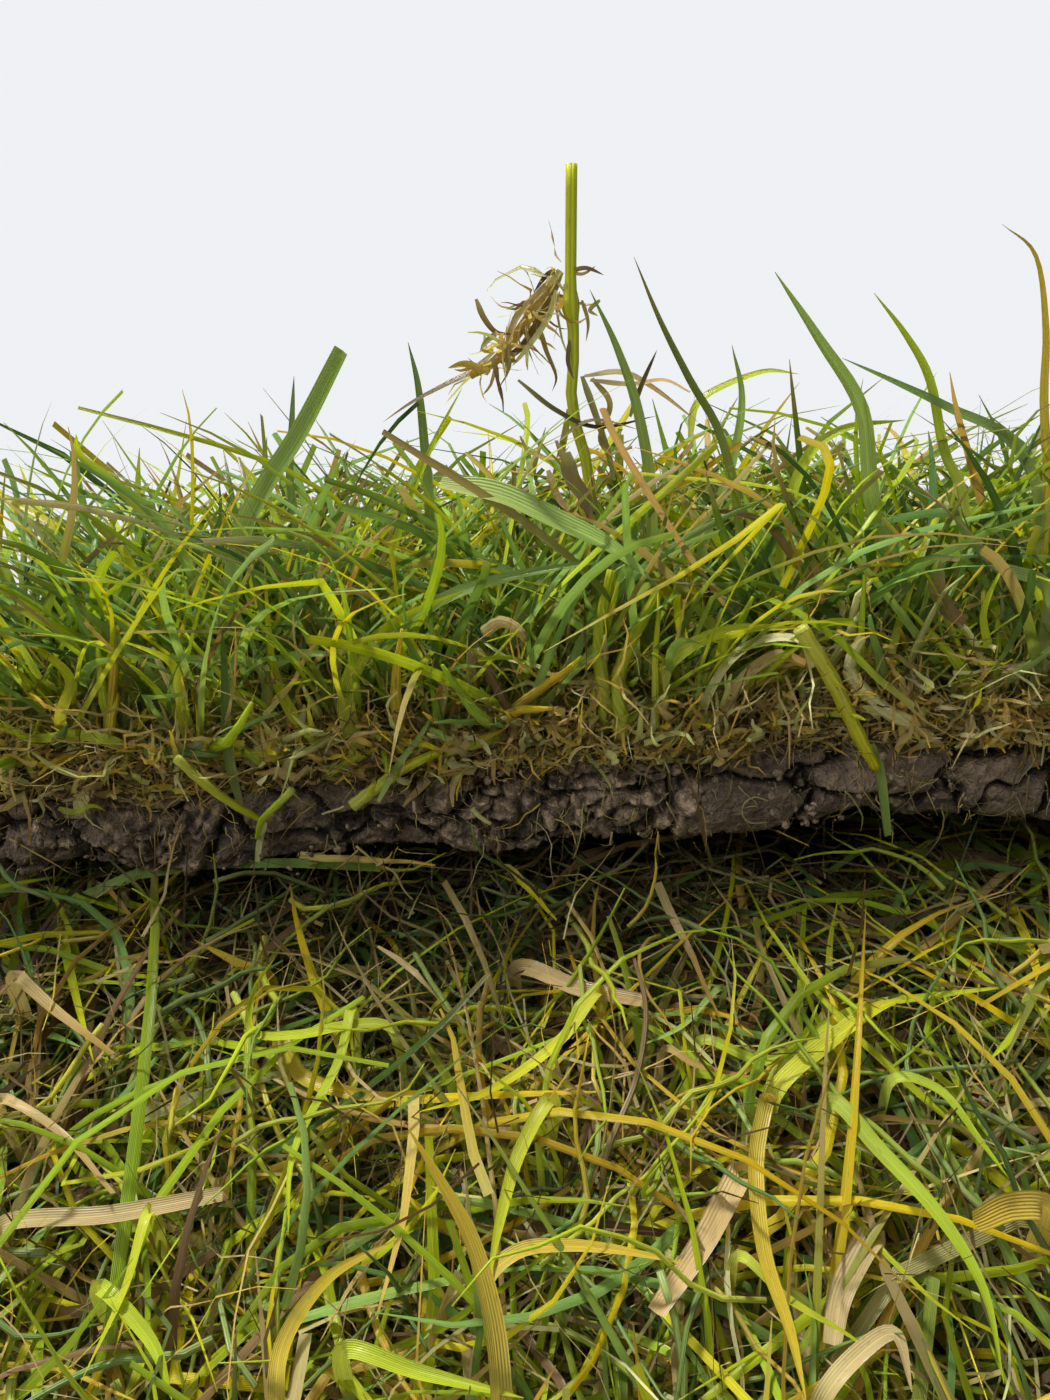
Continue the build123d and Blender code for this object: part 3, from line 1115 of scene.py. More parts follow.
    def add_crumbs(self, crumbs: Crumbs, rng: np.random.Generator) -> None:
        """Add a lot of crumbs: balls swelled and dented by noise, part sunk in what they lie on.

        Some are spread evenly and some cling together in nests, one of which is the clump that hangs from
        the left of the free end.

        Args:
            crumbs: how many, how large and where.
            rng: the random numbers to draw from.
        """
        half = self.winding.width / 2
        count = crumbs.count
        around, up = np.linspace(0, 2 * pi, 8)[:-1], np.linspace(-pi / 2, pi / 2, 6)
        rows = [np.outer(np.cos(up), np.cos(around)), np.outer(np.cos(up), np.sin(around))]
        ball = np.stack([*rows, np.outer(np.sin(up), np.ones(len(around)))], axis=-1)
        side = spread(rng, -half, half, count)
        height = spread(rng, *crumbs.height, count)
        nest_side = np.append(spread(rng, -half, half, self.nests), self.hanging_clump)
        nest_height = np.append(spread(rng, *crumbs.height, self.nests), crumbs.height[0])
        nest = rng.integers(0, self.nests + 1, count)
        nested = rng.random(count) < self.nested
        off_side, off_height = self.nest_spread
        side = np.where(nested, nest_side[nest] + rng.normal(0, off_side, count), side).clip(-half, half)
        height = np.where(nested, nest_height[nest] + rng.normal(0, off_height, count), height)
        middle = self.winding.place(spread(rng, *crumbs.back, count), side, height)[:, None, None]
        least, most = crumbs.size
        radius = (least + (most - least) * rng.random(count) ** 3) * MM
        stretch = spread(rng, 0.6, 1.3, count * 3).reshape(count, 1, 1, 3)
        grid = middle + ball * radius[:, None, None, None] * stretch
        swell = 1 + 0.9 * smooth_noise(grid, 0.0007, 71)[..., None]
        grid = middle + (grid - middle) * swell
        layer = (height + self.winding.mat) * 0.75 if crumbs.clinging else np.zeros(count)
        surface = Surface()
        layer = np.broadcast_to(layer[:, None, None], grid.shape[:3])
        surface.add(grid, np.full(grid.shape[:3] + (2,), 0.55), wrap=True, layer=layer)
        surface.build(crumbs.name, self.soil, "soil")

    def build(self) -> None:
        """Build the strip, its free end and its crumbs in place of the plain strip."""
        wound = self.wound_sides()
        self.free_end()
        rng = np.random.default_rng(11)
        for crumbs in self.crumbs:
            self.add_crumbs(crumbs, rng)
        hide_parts("turf_mat")


@dataclass(frozen=True)
class Litter:
    """One kind of dead or living strand in the thatch, with its ranges from least to most.

    back, side and height bound its roots in metres, length, width and heading are in millimetres and
    degrees, rise is its first angle off the strip, and bend is the turn at each step. A kind with sides is
    made of tubes with so many, and one without is made of flat ribbons.
    """

    name: str
    count: int
    back: tuple[float, float]
    side: tuple[float, float]
    height: tuple[float, float]
    length: tuple[float, float]
    width: tuple[float, float]
    heading: tuple[float, float]
    rise: tuple[float, float]
    tints: list[tuple[Tint, float]]
    bend: float = 28.0
    segments: int = 5
    sides: int = 0


@dataclass
class Thatch:
    """Dead stems, crowns and roots matted on the soil, thickest where the free end is cut.

    What hangs from the cut reaches no lower than lowest under the strip, and what would run on inside the
    soil from a root at the cut is brought out to a plane just in front of it.
    """

    winding: Winding
    leaf: bpy.types.Material
    lowest: float = 0.012
    at_cut: float = 0.004
    in_front: float = 0.0006

    def strew(self, kind: Litter, rng: np.random.Generator) -> None:
        """Strew one kind of strand: wandering paths, as flat ribbons, or as tubes where it has sides."""
        count = kind.count
        bounds = (kind.back, kind.side, kind.height)
        roots = np.stack([spread(rng, *bound, count) for bound in bounds], axis=-1)
        heading = np.radians(spread(rng, *kind.heading, count))
        rise = np.radians(spread(rng, *kind.rise, count))
        length = spread(rng, *kind.length, count) * MM
        path = wander(rng, roots, heading, rise, length, kind.bend, kind.segments)
        mat = self.winding.mat
        path[..., 2] = np.maximum(path[..., 2], -mat - self.lowest)
        inside = (path[..., 0] > 0.0) & (path[..., 2] < 0.0) & (path[..., 2] > -mat)
        path[..., 0] = np.where(inside & (roots[:, None, 0] < self.at_cut), -self.in_front, path[..., 0])
        points = self.winding.place(path[..., 0], path[..., 1], path[..., 2])
        v = np.linspace(0, 1, kind.segments + 1)
        width = spread(rng, *kind.width, count)[:, None] * MM * (1 - 0.75 * v**2)
        column = columns_of(kind.tints, count, rng)
        surface = Surface()
        if kind.sides:
            add_tubes(surface, points, width / 2, column, kind.sides, FRESH_LITTER)
        else:
            turn = spread(rng, 0, 2 * pi, count)[:, None] + rng.normal(0, 0.6, count)[:, None] * v
            across = np.stack([np.cos(turn), np.sin(turn), np.sin(turn * 1.7)], axis=-1)
            add_ribbons(surface, points, across, width, 0.0, column, 2, FRESH_LITTER)
        surface.build(kind.name, self.leaf, "grass")

    def build(self) -> None:
        """Strew every kind of strand."""
        rng = np.random.default_rng(23)
        for kind in LITTER:
            self.strew(kind, rng)


@dataclass
class RollEnds:
    """The two spiral ends: grass that is pressed between the turns and sticks out past the cut sides.

    covered is the distance back from which the strip lies under another turn, and the two inner sizes are
    how far from its inner end the grass stops. The packing's finish is read at finish_level.
    """

    winding: Winding
    soil: bpy.types.Material
    leaf: bpy.types.Material
    covered: float = 0.985
    packing_inner: float = 0.13
    packing_from: float = 0.055
    packing_step: float = 0.004
    packing_rows: int = 6
    recess: float = 0.007
    roughness: float = 0.003
    finish_level: float = 0.0195
    leaves: int = 1900
    leaves_inner: float = 0.12
    leaf_root: tuple[float, float] = (0.006, 0.012)
    leaf_length: tuple[float, float] = (0.009, 0.022)
    leaf_width: tuple[float, float] = (1.0, 2.8)
    leaf_segments: int = 4

    def packing(self) -> None:
        """A rough wall in the gap between the turns at both ends, carried along the winding."""
        wind = self.winding
        last = wind.knots()[3][0]
        back = np.arange(self.packing_from, last - self.packing_inner, self.packing_step)[:, None]
        height = np.linspace(-0.001, wind.pitch - wind.mat + 0.001, self.packing_rows)[None, :]
        surface = Surface()
        for sign in (-1, 1):
            points = wind.place(back, np.full((1, 1), sign * (wind.width / 2 - self.recess)), height)
            points[..., 0] += sign * self.roughness * layered_noise(points, 0.006, 90)
            keep = points[back[:, 0] > self.covered]
            grid = (keep[:, ::-1] if sign < 0 else keep)[None]
            level = np.full(grid.shape[:3], self.finish_level)
            surface.add(grid, np.full(grid.shape[:3] + (2,), 0.5), layer=level)
        surface.build("pressed_thatch", self.soil, "soil")

    def fringe(self) -> None:
        """Pressed leaves that leave the gap sideways, as wandering ribbons kept within the gap's height."""
        wind = self.winding
        rng = np.random.default_rng(31)
        last = wind.knots()[3][0]
        count = self.leaves
        for sign, name in ((-1, "fringe_left"), (1, "fringe_right")):
            back = self.covered + (last - self.leaves_inner - self.covered) * rng.random(count)
            side = sign * (wind.width / 2 - spread(rng, *self.leaf_root, count))
            height = spread(rng, 0.0, wind.pitch - wind.mat, count)
            roots = np.stack([back, side, height], axis=-1)
            heading = sign * pi / 2 + rng.normal(0, 0.55, count)
            length = spread(rng, *self.leaf_length, count)
            rise = rng.normal(0, 0.12, count)
            path = wander(rng, roots, heading, rise, length, 16, self.leaf_segments)
            room = (wind.pitch - wind.mat) / 2
            path[..., 2] = room + (room + 0.001) * np.tanh((path[..., 2] - room) / room)
            points = wind.place(path[..., 0], path[..., 1], path[..., 2])
            v = np.linspace(0, 1, self.leaf_segments + 1)
            width = spread(rng, *self.leaf_width, count)[:, None] * MM * (1 - 0.85 * v**3)
            turn = spread(rng, 0, pi, count)[:, None] + rng.normal(0, 0.5, count)[:, None] * v
            flat = wind.turned(path[..., 0], np.stack([np.cos(turn), 0 * turn, np.sin(turn)], axis=-1))
            surface = Surface()
            add_ribbons(surface, points, flat, width, 0.0, columns_of(PRESSED, count, rng), 2)
            surface.build(name, self.leaf, "grass")

    def build(self) -> None:
        """Build the packing and the fringe."""
        self.packing()
        self.fringe()


@dataclass(frozen=True)
class Lamp:
    """A square lamp: its name, its place, the point that it faces, its edge in metres and its watts."""

    name: str
    place: tuple[float, float, float]
    aim: tuple[float, float, float]
    size: float
    power: float


@dataclass
class Studio:
    """Camera, lamps, floor and pale surroundings.

    The eye is given from the roll's axis, pitch is in degrees down, focal_share is a share of the frame's
    height, and frame_size is in pixels. dome is the soft light's strength at the horizon and overhead.
    """

    winding: Winding
    eye_offset: tuple[float, float, float] = (-0.106, -0.2207, 0.1985)
    pitch: float = 11.0
    focal_share: float = 0.75
    frame_size: tuple[int, int] = (1050, 1400)
    sensor: float = 36.0
    nearest: float = 0.005
    backdrop: tuple = (0.86, 0.88, 0.90, 1)
    soft_light: tuple = (0.96, 0.98, 1.0, 1)
    dome: tuple[float, float] = (0.03, 0.28)
    floor_half: float = 6.0
    floor_stops: tuple = ((0.3, (0.66, 0.66, 0.65)), (0.7, (0.70, 0.70, 0.69)))
    floor_fade: tuple[float, float] = (0.45, 1.5)
    lamps: tuple[Lamp, ...] = (
        Lamp("key", (-0.50, 0.13, 1.62), (-0.08, -0.08, 0.28), 0.15, 27.5),
        Lamp("fill", (-0.85, -0.85, 1.10), (-0.05, -0.05, 0.30), 0.6, 5.2),
    )

    @property
    def eye(self) -> np.ndarray:
        """Where the camera stands."""
        return np.append(0, self.winding.axis) + np.array(self.eye_offset)

    def ray(self, pixel: np.ndarray) -> np.ndarray:
        """Direction from the eye through a pixel of the photograph's frame, one metre long in Y."""
        focal = self.focal_share * self.frame_size[1]
        right = (pixel[..., 0] - self.frame_size[0] / 2) / focal
        up = (self.frame_size[1] / 2 - pixel[..., 1]) / focal
        lean = radians(self.pitch)
        forward = np.cos(lean) + up * np.sin(lean)
        rise = -np.sin(lean) + up * np.cos(lean)
        return np.stack([right / forward, np.ones_like(right), rise / forward], axis=-1)

    def camera(self) -> None:
        """Put the camera where the photograph was taken from."""
        lens = bpy.data.cameras.new("camera")
        lens.sensor_width = self.sensor
        lens.lens = self.sensor * self.focal_share
        lens.clip_start = self.nearest
        camera = bpy.data.objects.new("camera", lens)
        camera.location = tuple(self.eye)
        camera.rotation_euler = (radians(90 - self.pitch), 0, 0)
        bpy.context.scene.collection.objects.link(camera)
        bpy.context.scene.camera = camera

    def light(self, lamp: Lamp) -> None:
        """Add a lamp, turned by the angles at which its own down axis meets the point that it faces."""
        light = bpy.data.lights.new(lamp.name, "AREA")
        light.size = lamp.size
        light.energy = lamp.power
        shining = bpy.data.objects.new(lamp.name, light)
        towards = np.array(lamp.aim) - np.array(lamp.place)
        shining.location = lamp.place
        tilt = np.arctan2(np.hypot(towards[0], towards[1]), -towards[2])
        shining.rotation_euler = (tilt, 0, np.arctan2(towards[1], towards[0]) - pi / 2)
        bpy.context.scene.collection.objects.link(shining)

    def surroundings(self) -> None:
        """Pale backdrop for the camera, gloss and glass, and plain soft light for everything else."""
        world = bpy.data.worlds.new("studio")
        bpy.context.scene.world = world
        world.use_nodes = True
        world.node_tree.nodes.clear()
        shade = Shading(world.node_tree)
        path = shade.node("ShaderNodeLightPath").outputs
        seen = shade.math("MAXIMUM", path["Is Camera Ray"], path["Is Glossy Ray"])
        sharp = shade.math("SUBTRACT", 1.0, path["Is Diffuse Ray"])
        clear = shade.math("MULTIPLY", path["Is Transmission Ray"], sharp)
        seen = shade.math("MAXIMUM", seen, clear)
        towards = shade.node("ShaderNodeTexCoord").outputs["Generated"]
        up = shade.node("ShaderNodeSeparateXYZ", Vector=towards).outputs[2]
        strength = shade.span(up, -0.1, 1.0, *self.dome)
        soft = shade.node("ShaderNodeBackground", None, Color=self.soft_light, Strength=strength)
        pale = shade.node("ShaderNodeBackground", None, Color=self.backdrop, Strength=1.0)
        mixed = shade.node("ShaderNodeMixShader", None, i0=seen, i1=soft.outputs[0], i2=pale.outputs[0])
        shade.node("ShaderNodeOutputWorld", None, i0=mixed.outputs[0])

    def floor(self) -> None:
        """A wide pale floor that keeps the roll's shadow and fades into the backdrop far off."""
        half = self.floor_half
        corners = [(-half, -half, 0), (half, -half, 0), (half, half, 0), (-half, half, 0)]
        mesh = bpy.data.meshes.new("floor")
        mesh.from_pydata(corners, [], [(0, 1, 2, 3)])
        material, shade, output = new_material("floor")
        place = shade.node("ShaderNodeTexCoord").outputs["Object"]
        colour = shade.ramp(shade.noise(place, 3.0), self.floor_stops)
        skin = shade.node("ShaderNodeBsdfPrincipled", None, Base_Color=colour, Roughness=0.8)
        reach = shade.node("ShaderNodeVectorMath", {"operation": "LENGTH"}, i0=place).outputs["Value"]
        far = shade.span(reach, *self.floor_fade, easing="SMOOTHSTEP")
        seen = shade.math("MULTIPLY", far, shade.node("ShaderNodeLightPath").outputs["Is Camera Ray"])
        pale = shade.node("ShaderNodeEmission", None, Color=self.backdrop, Strength=1.0)
        faded = shade.node("ShaderNodeMixShader", None, i0=seen, i1=skin.outputs[0], i2=pale.outputs[0])
        shade.tree.links.new(faded.outputs[0], output.inputs[0])
        mesh.materials.append(material)
        floor = bpy.data.objects.new("floor", mesh)
        bpy.context.scene.collection.objects.link(floor)

    def build(self) -> None:
        """Set up the whole studio."""
        self.camera()
        self.surroundings()
        self.floor()
        for lamp in self.lamps:
            self.light(lamp)
        bpy.context.scene.view_settings.view_transform = "Standard"


# Stretches of the roll along X: all of it, its two halves, and the part that the camera is close to
FULL = (-0.2025, 0.2025)
NEAR = (-0.2025, 0.0)
FAR = (0.0, 0.2025)
CLOSE = (-0.190, -0.018)
WIDE = (-0.018, 0.2025)

# Each patch: name, back, side, density, length, width, rise at the root and at the tip, heading, tints
PATCHES = (
    Habit(
        "sward_lap_low", (0.003, 0.055), NEAR, 18, (12, 34), (0.7, 1.7), (20, 70), (-10, 50), (-130, 130),
        LAWN, curl=50.0, kinked=0.15, mown=0.2,
    ),
    Habit(
        "sward_lap_left", (0.003, 0.055), NEAR, 17, (34, 80), (0.8, 2.1), (42, 84), (10, 75), (-115, 115),
        LAWN, segments=8, across=3, curl=45.0, kinked=0.12, mown=0.35,
    ),
    Habit(
        "sward_forward", (0.002, 0.030), NEAR, 5, (26, 62), (0.8, 2.0), (35, 75), (0, 60), (110, 250), LAWN,
        segments=8, across=3, curl=45.0, kinked=0.15,
    ),
    Habit(
        "sward_lap_right", (0.001, 0.055), FAR, 18, (30, 72), (1.0, 2.4), (42, 84), (10, 75), (-140, 140),
        LAWN,
    ),
    Habit(
        "sward_crest", (0.055, 0.240), FULL, 13.5, (34, 80), (1.1, 2.5), (45, 88), (15, 78), (0, 360), LAWN,
        segments=4,
    ),
    Habit(
        "sward_back", (0.240, 0.440), FULL, 10, (34, 66), (1.2, 2.8), (40, 80), (0, 50), (-80, 80), LAWN,
        segments=4,
    ),
    Habit(
        "sward_under", (0.440, 0.660), FULL, 5, (28, 50), (1.6, 3.0), (10, 40), (-10, 10), (0, 360), SHADE_DULL,
        segments=4,
    ),
    Habit(
        "sward_front_deep", (0.850, 0.935), CLOSE, 11, (20, 52), (0.8, 2.0), (5, 45), (-30, 20), (0, 360),
        SHADE_DUSK, curl=70.0, kinked=0.2, fill=(0.25, 0.65), even=True,
    ),
    Habit(
        "sward_front_close", (0.850, 0.918), CLOSE, 10.5, (24, 72), (0.7, 1.9), (10, 65), (-30, 40),
        (0, 360), LYING, segments=7, across=3, curl=85.0, kinked=0.3, fill=(0.8, 1.25),
    ),
    Habit(
        "sward_brow", (0.920, 0.990), (-0.2025, -0.018), 19, (14, 38), (0.7, 1.7), (10, 60), (-30, 30),
        (0, 360), SHADE_GLOOM, segments=6, curl=70.0, kinked=0.2, fill=(0.6, 1.2), even=True,
    ),
    Habit(
        "sward_tuck_left", (0.930, 1.020), (-0.2025, -0.186), 26, (14, 34), (0.8, 1.9), (10, 60), (-20, 40),
        (-140, 0), SHADE_DUSK, curl=60.0, even=True,
    ),
    Habit(
        "sward_front_edge", (0.850, 0.984), (-0.2025, -0.185), 10, (30, 60), (1.0, 2.2), (20, 60),
        (-20, 30), (0, 360), LYING, curl=60.0, kinked=0.25,
    ),
    Habit(
        "sward_front_wide", (0.850, 0.984), WIDE, 11, (32, 70), (1.1, 2.6), (15, 60), (-20, 30), (0, 360),
        LYING, segments=4, curl=60.0, kinked=0.25,
    ),
    Habit(
        "sward_front_low", (0.660, 0.850), FULL, 10, (34, 62), (1.2, 2.8), (20, 60), (-25, 25), (0, 360),
        LYING, segments=4, curl=60.0, kinked=0.2,
    ),
    Habit(
        "sward_tip_left", (0.001, 0.120), (-0.2025, -0.188), 16, (18, 44), (0.8, 2.0), (25, 70), (-10, 40),
        (-150, -30), LAWN, segments=6, mown=0.2,
    ),
    Habit(
        "sward_crease", (0.984, 1.080), FULL, 6, (18, 34), (1.1, 2.2), (15, 60), (-10, 25), (0, 360), SHADE_DULL,
    ),
)

# Each kind: name, count, back, side, height, length, width, heading, rise, tints
LITTER = (
    Litter(
        "thatch_cut", 3600, (-0.0008, 0.004), FULL, (-0.0085, 0.001), (3, 12), (0.18, 0.8), (95, 265),
        (-25, 50), MATTED,
    ),
    Litter(
        "thatch_chaff", 1250, (-0.003, 0.003), FULL, (-0.0080, 0.002), (2.5, 8), (0.5, 1.8), (60, 300),
        (-40, 45), CHAFF, bend=24.0, segments=4,
    ),
    Litter(
        "straw_cut", 560, (-0.0050, 0.000), FULL, (-0.0080, 0.002), (3, 10), (0.4, 1.4), (110, 250),
        (0, 60), BRIGHT, bend=20.0,
    ),
    Litter(
        "thatch_top", 3000, (-0.001, 0.045), NEAR, (0.0, 0.008), (7, 26), (0.2, 0.9), (0, 360), (-15, 40),
        DEAD,
    ),
    Litter(
        "thatch_top_right", 900, (-0.001, 0.030), FAR, (0.0, 0.006), (7, 26), (0.4, 1.3), (0, 360),
        (-15, 40), DEAD,
    ),
    Litter(
        "thatch_front", 3200, (0.860, 0.985), CLOSE, (0.001, 0.013), (10, 40), (0.2, 0.7), (0, 360),
        (-8, 8), DARK_LITTER_AND_SHADE, bend=26.0, segments=4,
    ),
    Litter(
        "fibres_front", 380, (0.855, 0.935), CLOSE, (0.010, 0.020), (12, 34), (0.2, 0.6), (0, 360),
        (-14, 14), DEAD, bend=16.0,
    ),
    Litter(
        "straw_front", 20, (0.860, 0.950), CLOSE, (0.014, 0.021), (14, 30), (1.1, 2.2), (0, 360), (-4, 6),
        CHAFF, bend=7.0,
    ),
    Litter(
        "roots_cut", 150, (0.0, 0.006), FULL, (-0.0215, -0.012), (4, 16), (0.14, 0.4), (90, 270),
        (-85, -10), DRIED, bend=24.0, segments=6, sides=4,
    ),
    Litter(
        "hairs_cut", 800, (-0.001, 0.002), FULL, (-0.0225, -0.009), (1.5, 6), (0.08, 0.22), (90, 270),
        (-85, 60), DRIED, bend=30.0, segments=4,
    ),
    Litter(
        "crowns_cut", 300, (0.000, 0.014), FULL, (-0.005, 0.001), (9, 26), (1.3, 2.6), (70, 290), (5, 80),
        SHOOT, bend=13.0, segments=6, sides=6,
    ),
    Litter(
        "stems_front", 280, (0.860, 0.948), CLOSE, (0.004, 0.020), (16, 46), (0.55, 1.15), (0, 360),
        (-10, 14), YOUNG, bend=15.0, segments=8, sides=5,
    ),
)


@dataclass(frozen=True)
class Drawn:
    """One strand that the photograph shows by itself, followed by pixels of the 1050 by 1400 frame.

    pixels are its points from foot to tip, x and y by turns, width is in millimetres, and depth gives
    millimetres at the first and last point, counted from the anchor of the strand's own table.
    """

    pixels: tuple[int, ...]
    width: float
    tint: Tint
    depth: tuple[float, float]
    form: Form = Form.BLADE


@dataclass
class Portraits:
    """The strands that stand out in the photograph, each traced back from the camera onto the roll.

    Each walk is a stretch of the strip that rays are followed over, as its two ends back and its steps. The
    roots are offsets of a sunk end, and a strand that starts higher than high_start goes straight down.
    """

    winding: Winding
    studio: Studio
    leaf: bpy.types.Material
    points: int = 26
    turn_walk: tuple[float, float, int] = (0.84, 1.01, 400)
    lap_walk: tuple[float, float, int] = (-0.004, 0.1, 300)
    turn_root: tuple[float, float, float] = (0, 0.004, -0.012)
    lap_root: tuple[float, float, float] = (0, 0.004, -0.004)
    high_start: float = 0.012
    stem_sides: int = 8
    cut_tip: float = 0.7
    sharp_tip: float = 0.04
    keel: float = 0.18

    def cut_y(self) -> float:
        """Where the cut face stands."""
        return float(self.winding.place(np.zeros(1), np.zeros(1), np.zeros(1))[0, 1])

    def meet(self, pixels: np.ndarray, back: np.ndarray, height: np.ndarray) -> np.ndarray:
        """Where rays through pixels first meet the strip's top raised by a height.
        The strip is walked towards the back of the picture, and each ray stops at the first step where the
        strip is higher than the ray.

        Args:
            pixels: picture places, as an array of ray and two numbers.
            back: steps along the strip, nearest the camera first.
            height: one height above the thatch for each ray.

        Returns:
            One point for each ray.
        """
        ray = self.studio.ray(pixels)
        eye = self.studio.eye
        top = self.winding.place(back[None, :], np.zeros((1, 1)), height[:, None])
        away = top[..., 1] - eye[1]
        side = eye[0] + ray[:, None, 0] * away
        top = self.winding.place(back[None, :], side, height[:, None])
        seen = eye[2] + ray[:, None, 2] * away
        over = top[..., 2] >= seen
        over[:, -1] = True
        first = np.argmax(over, axis=1)
        rows = np.arange(len(pixels))
        return eye + ray * away[rows, first][:, None]

    def root_on_lap(self, first: np.ndarray, pixel: np.ndarray, depth: float) -> np.ndarray:
        """The sunk end of a strand on the free end: lower and further back, and within the thatch.

        Args:
            first: the strand's first point.
            pixel: its place in the picture.
            depth: how far behind the cut face it starts, in metres.

        Returns:
            The point.
        """
        floor = self.meet(pixel[None], np.linspace(*self.lap_walk), np.full(1, -0.002))[0]
        high = first[2] - floor[2] > self.high_start
        root = first.copy() if high else first + np.array(self.lap_root)
        thatch = self.winding.place(np.array([max(depth, 0.002)]), first[:1], np.full(1, -0.003))[0]
        root[1] = max(root[1], thatch[1])
        root[2] = min(root[2], thatch[2])
        return root

    def trace(self, strand: Drawn, anchor: Anchor) -> np.ndarray:
        """Points of one strand: its pixels brought to their depths, and its root added."""
        pixels = np.array(strand.pixels, dtype=float).reshape(-1, 2)
        depth = np.linspace(*strand.depth, len(pixels)) * MM
        if anchor is Anchor.LAP:
            eye = self.studio.eye
            away = self.cut_y() + depth - eye[1]
            points = eye + self.studio.ray(pixels) * away[:, None]
            root = self.root_on_lap(points[0], pixels[0], depth[0])
        else:
            points = self.meet(pixels, np.linspace(*self.turn_walk), depth)
            root = points[0] + np.array(self.turn_root)
        return np.concatenate([root[None], points]) if strand.form.rooted else points

    def add(self, strand: Drawn, anchor: Anchor, surface: Surface, rng: np.random.Generator) -> None:
        """Add one strand: a Catmull-Rom curve through its points, as a folded blade or a round stem.

        Args:
            strand: the strand.
            anchor: what its depth is counted from.
            surface: what it is added to.
            rng: the random numbers to draw from.
        """
        path = smoothed(self.trace(strand, anchor), self.points)[None]
        v = np.linspace(0, 1, self.points)
        low, high = strand.tint.value
        column = np.floor(low + (0.4 + 0.6 * rng.random(1)) * (high - low) + 0.5)
        if strand.form.round:
            wide = strand.width * MM / 2 * (1 - 0.35 * v**3) * (1 + 0.06 * np.sin(v * 40))
            add_tubes(surface, path, wide[None], column, self.stem_sides, FRESH_STRAND)
            return
        point = self.cut_tip if strand.form.cut else self.sharp_tip
        wide = strand.width * MM * np.minimum(1, 0.5 + 3 * v) * (point + (1 - point) * (1 - v**3.5))
        along = unit(np.gradient(path, axis=1))
        look = unit(path - self.studio.eye)
        across = np.cross(along, look)
        upward = np.sign(across[..., 2].mean())
        roll = upward * rng.uniform(0.1, 0.9) + rng.normal(0, 0.35) * v
        across = across * np.cos(roll)[None, :, None] + look * np.sin(roll)[None, :, None]
        add_ribbons(surface, path, across, wide[None], self.keel, column, 3, FRESH_STRAND)

    def build(self) -> None:
        """Build the strands on the free end and on the turn below."""
        rng = np.random.default_rng(5)
        tables = (("blades_lap", Anchor.LAP, ON_LAP), ("blades_below", Anchor.TURN, ON_TURN))
        for name, anchor, strands in tables:
            surface = Surface()
            for strand in strands:
                self.add(strand, anchor, surface, rng)
            surface.build(name, self.leaf, "grass")


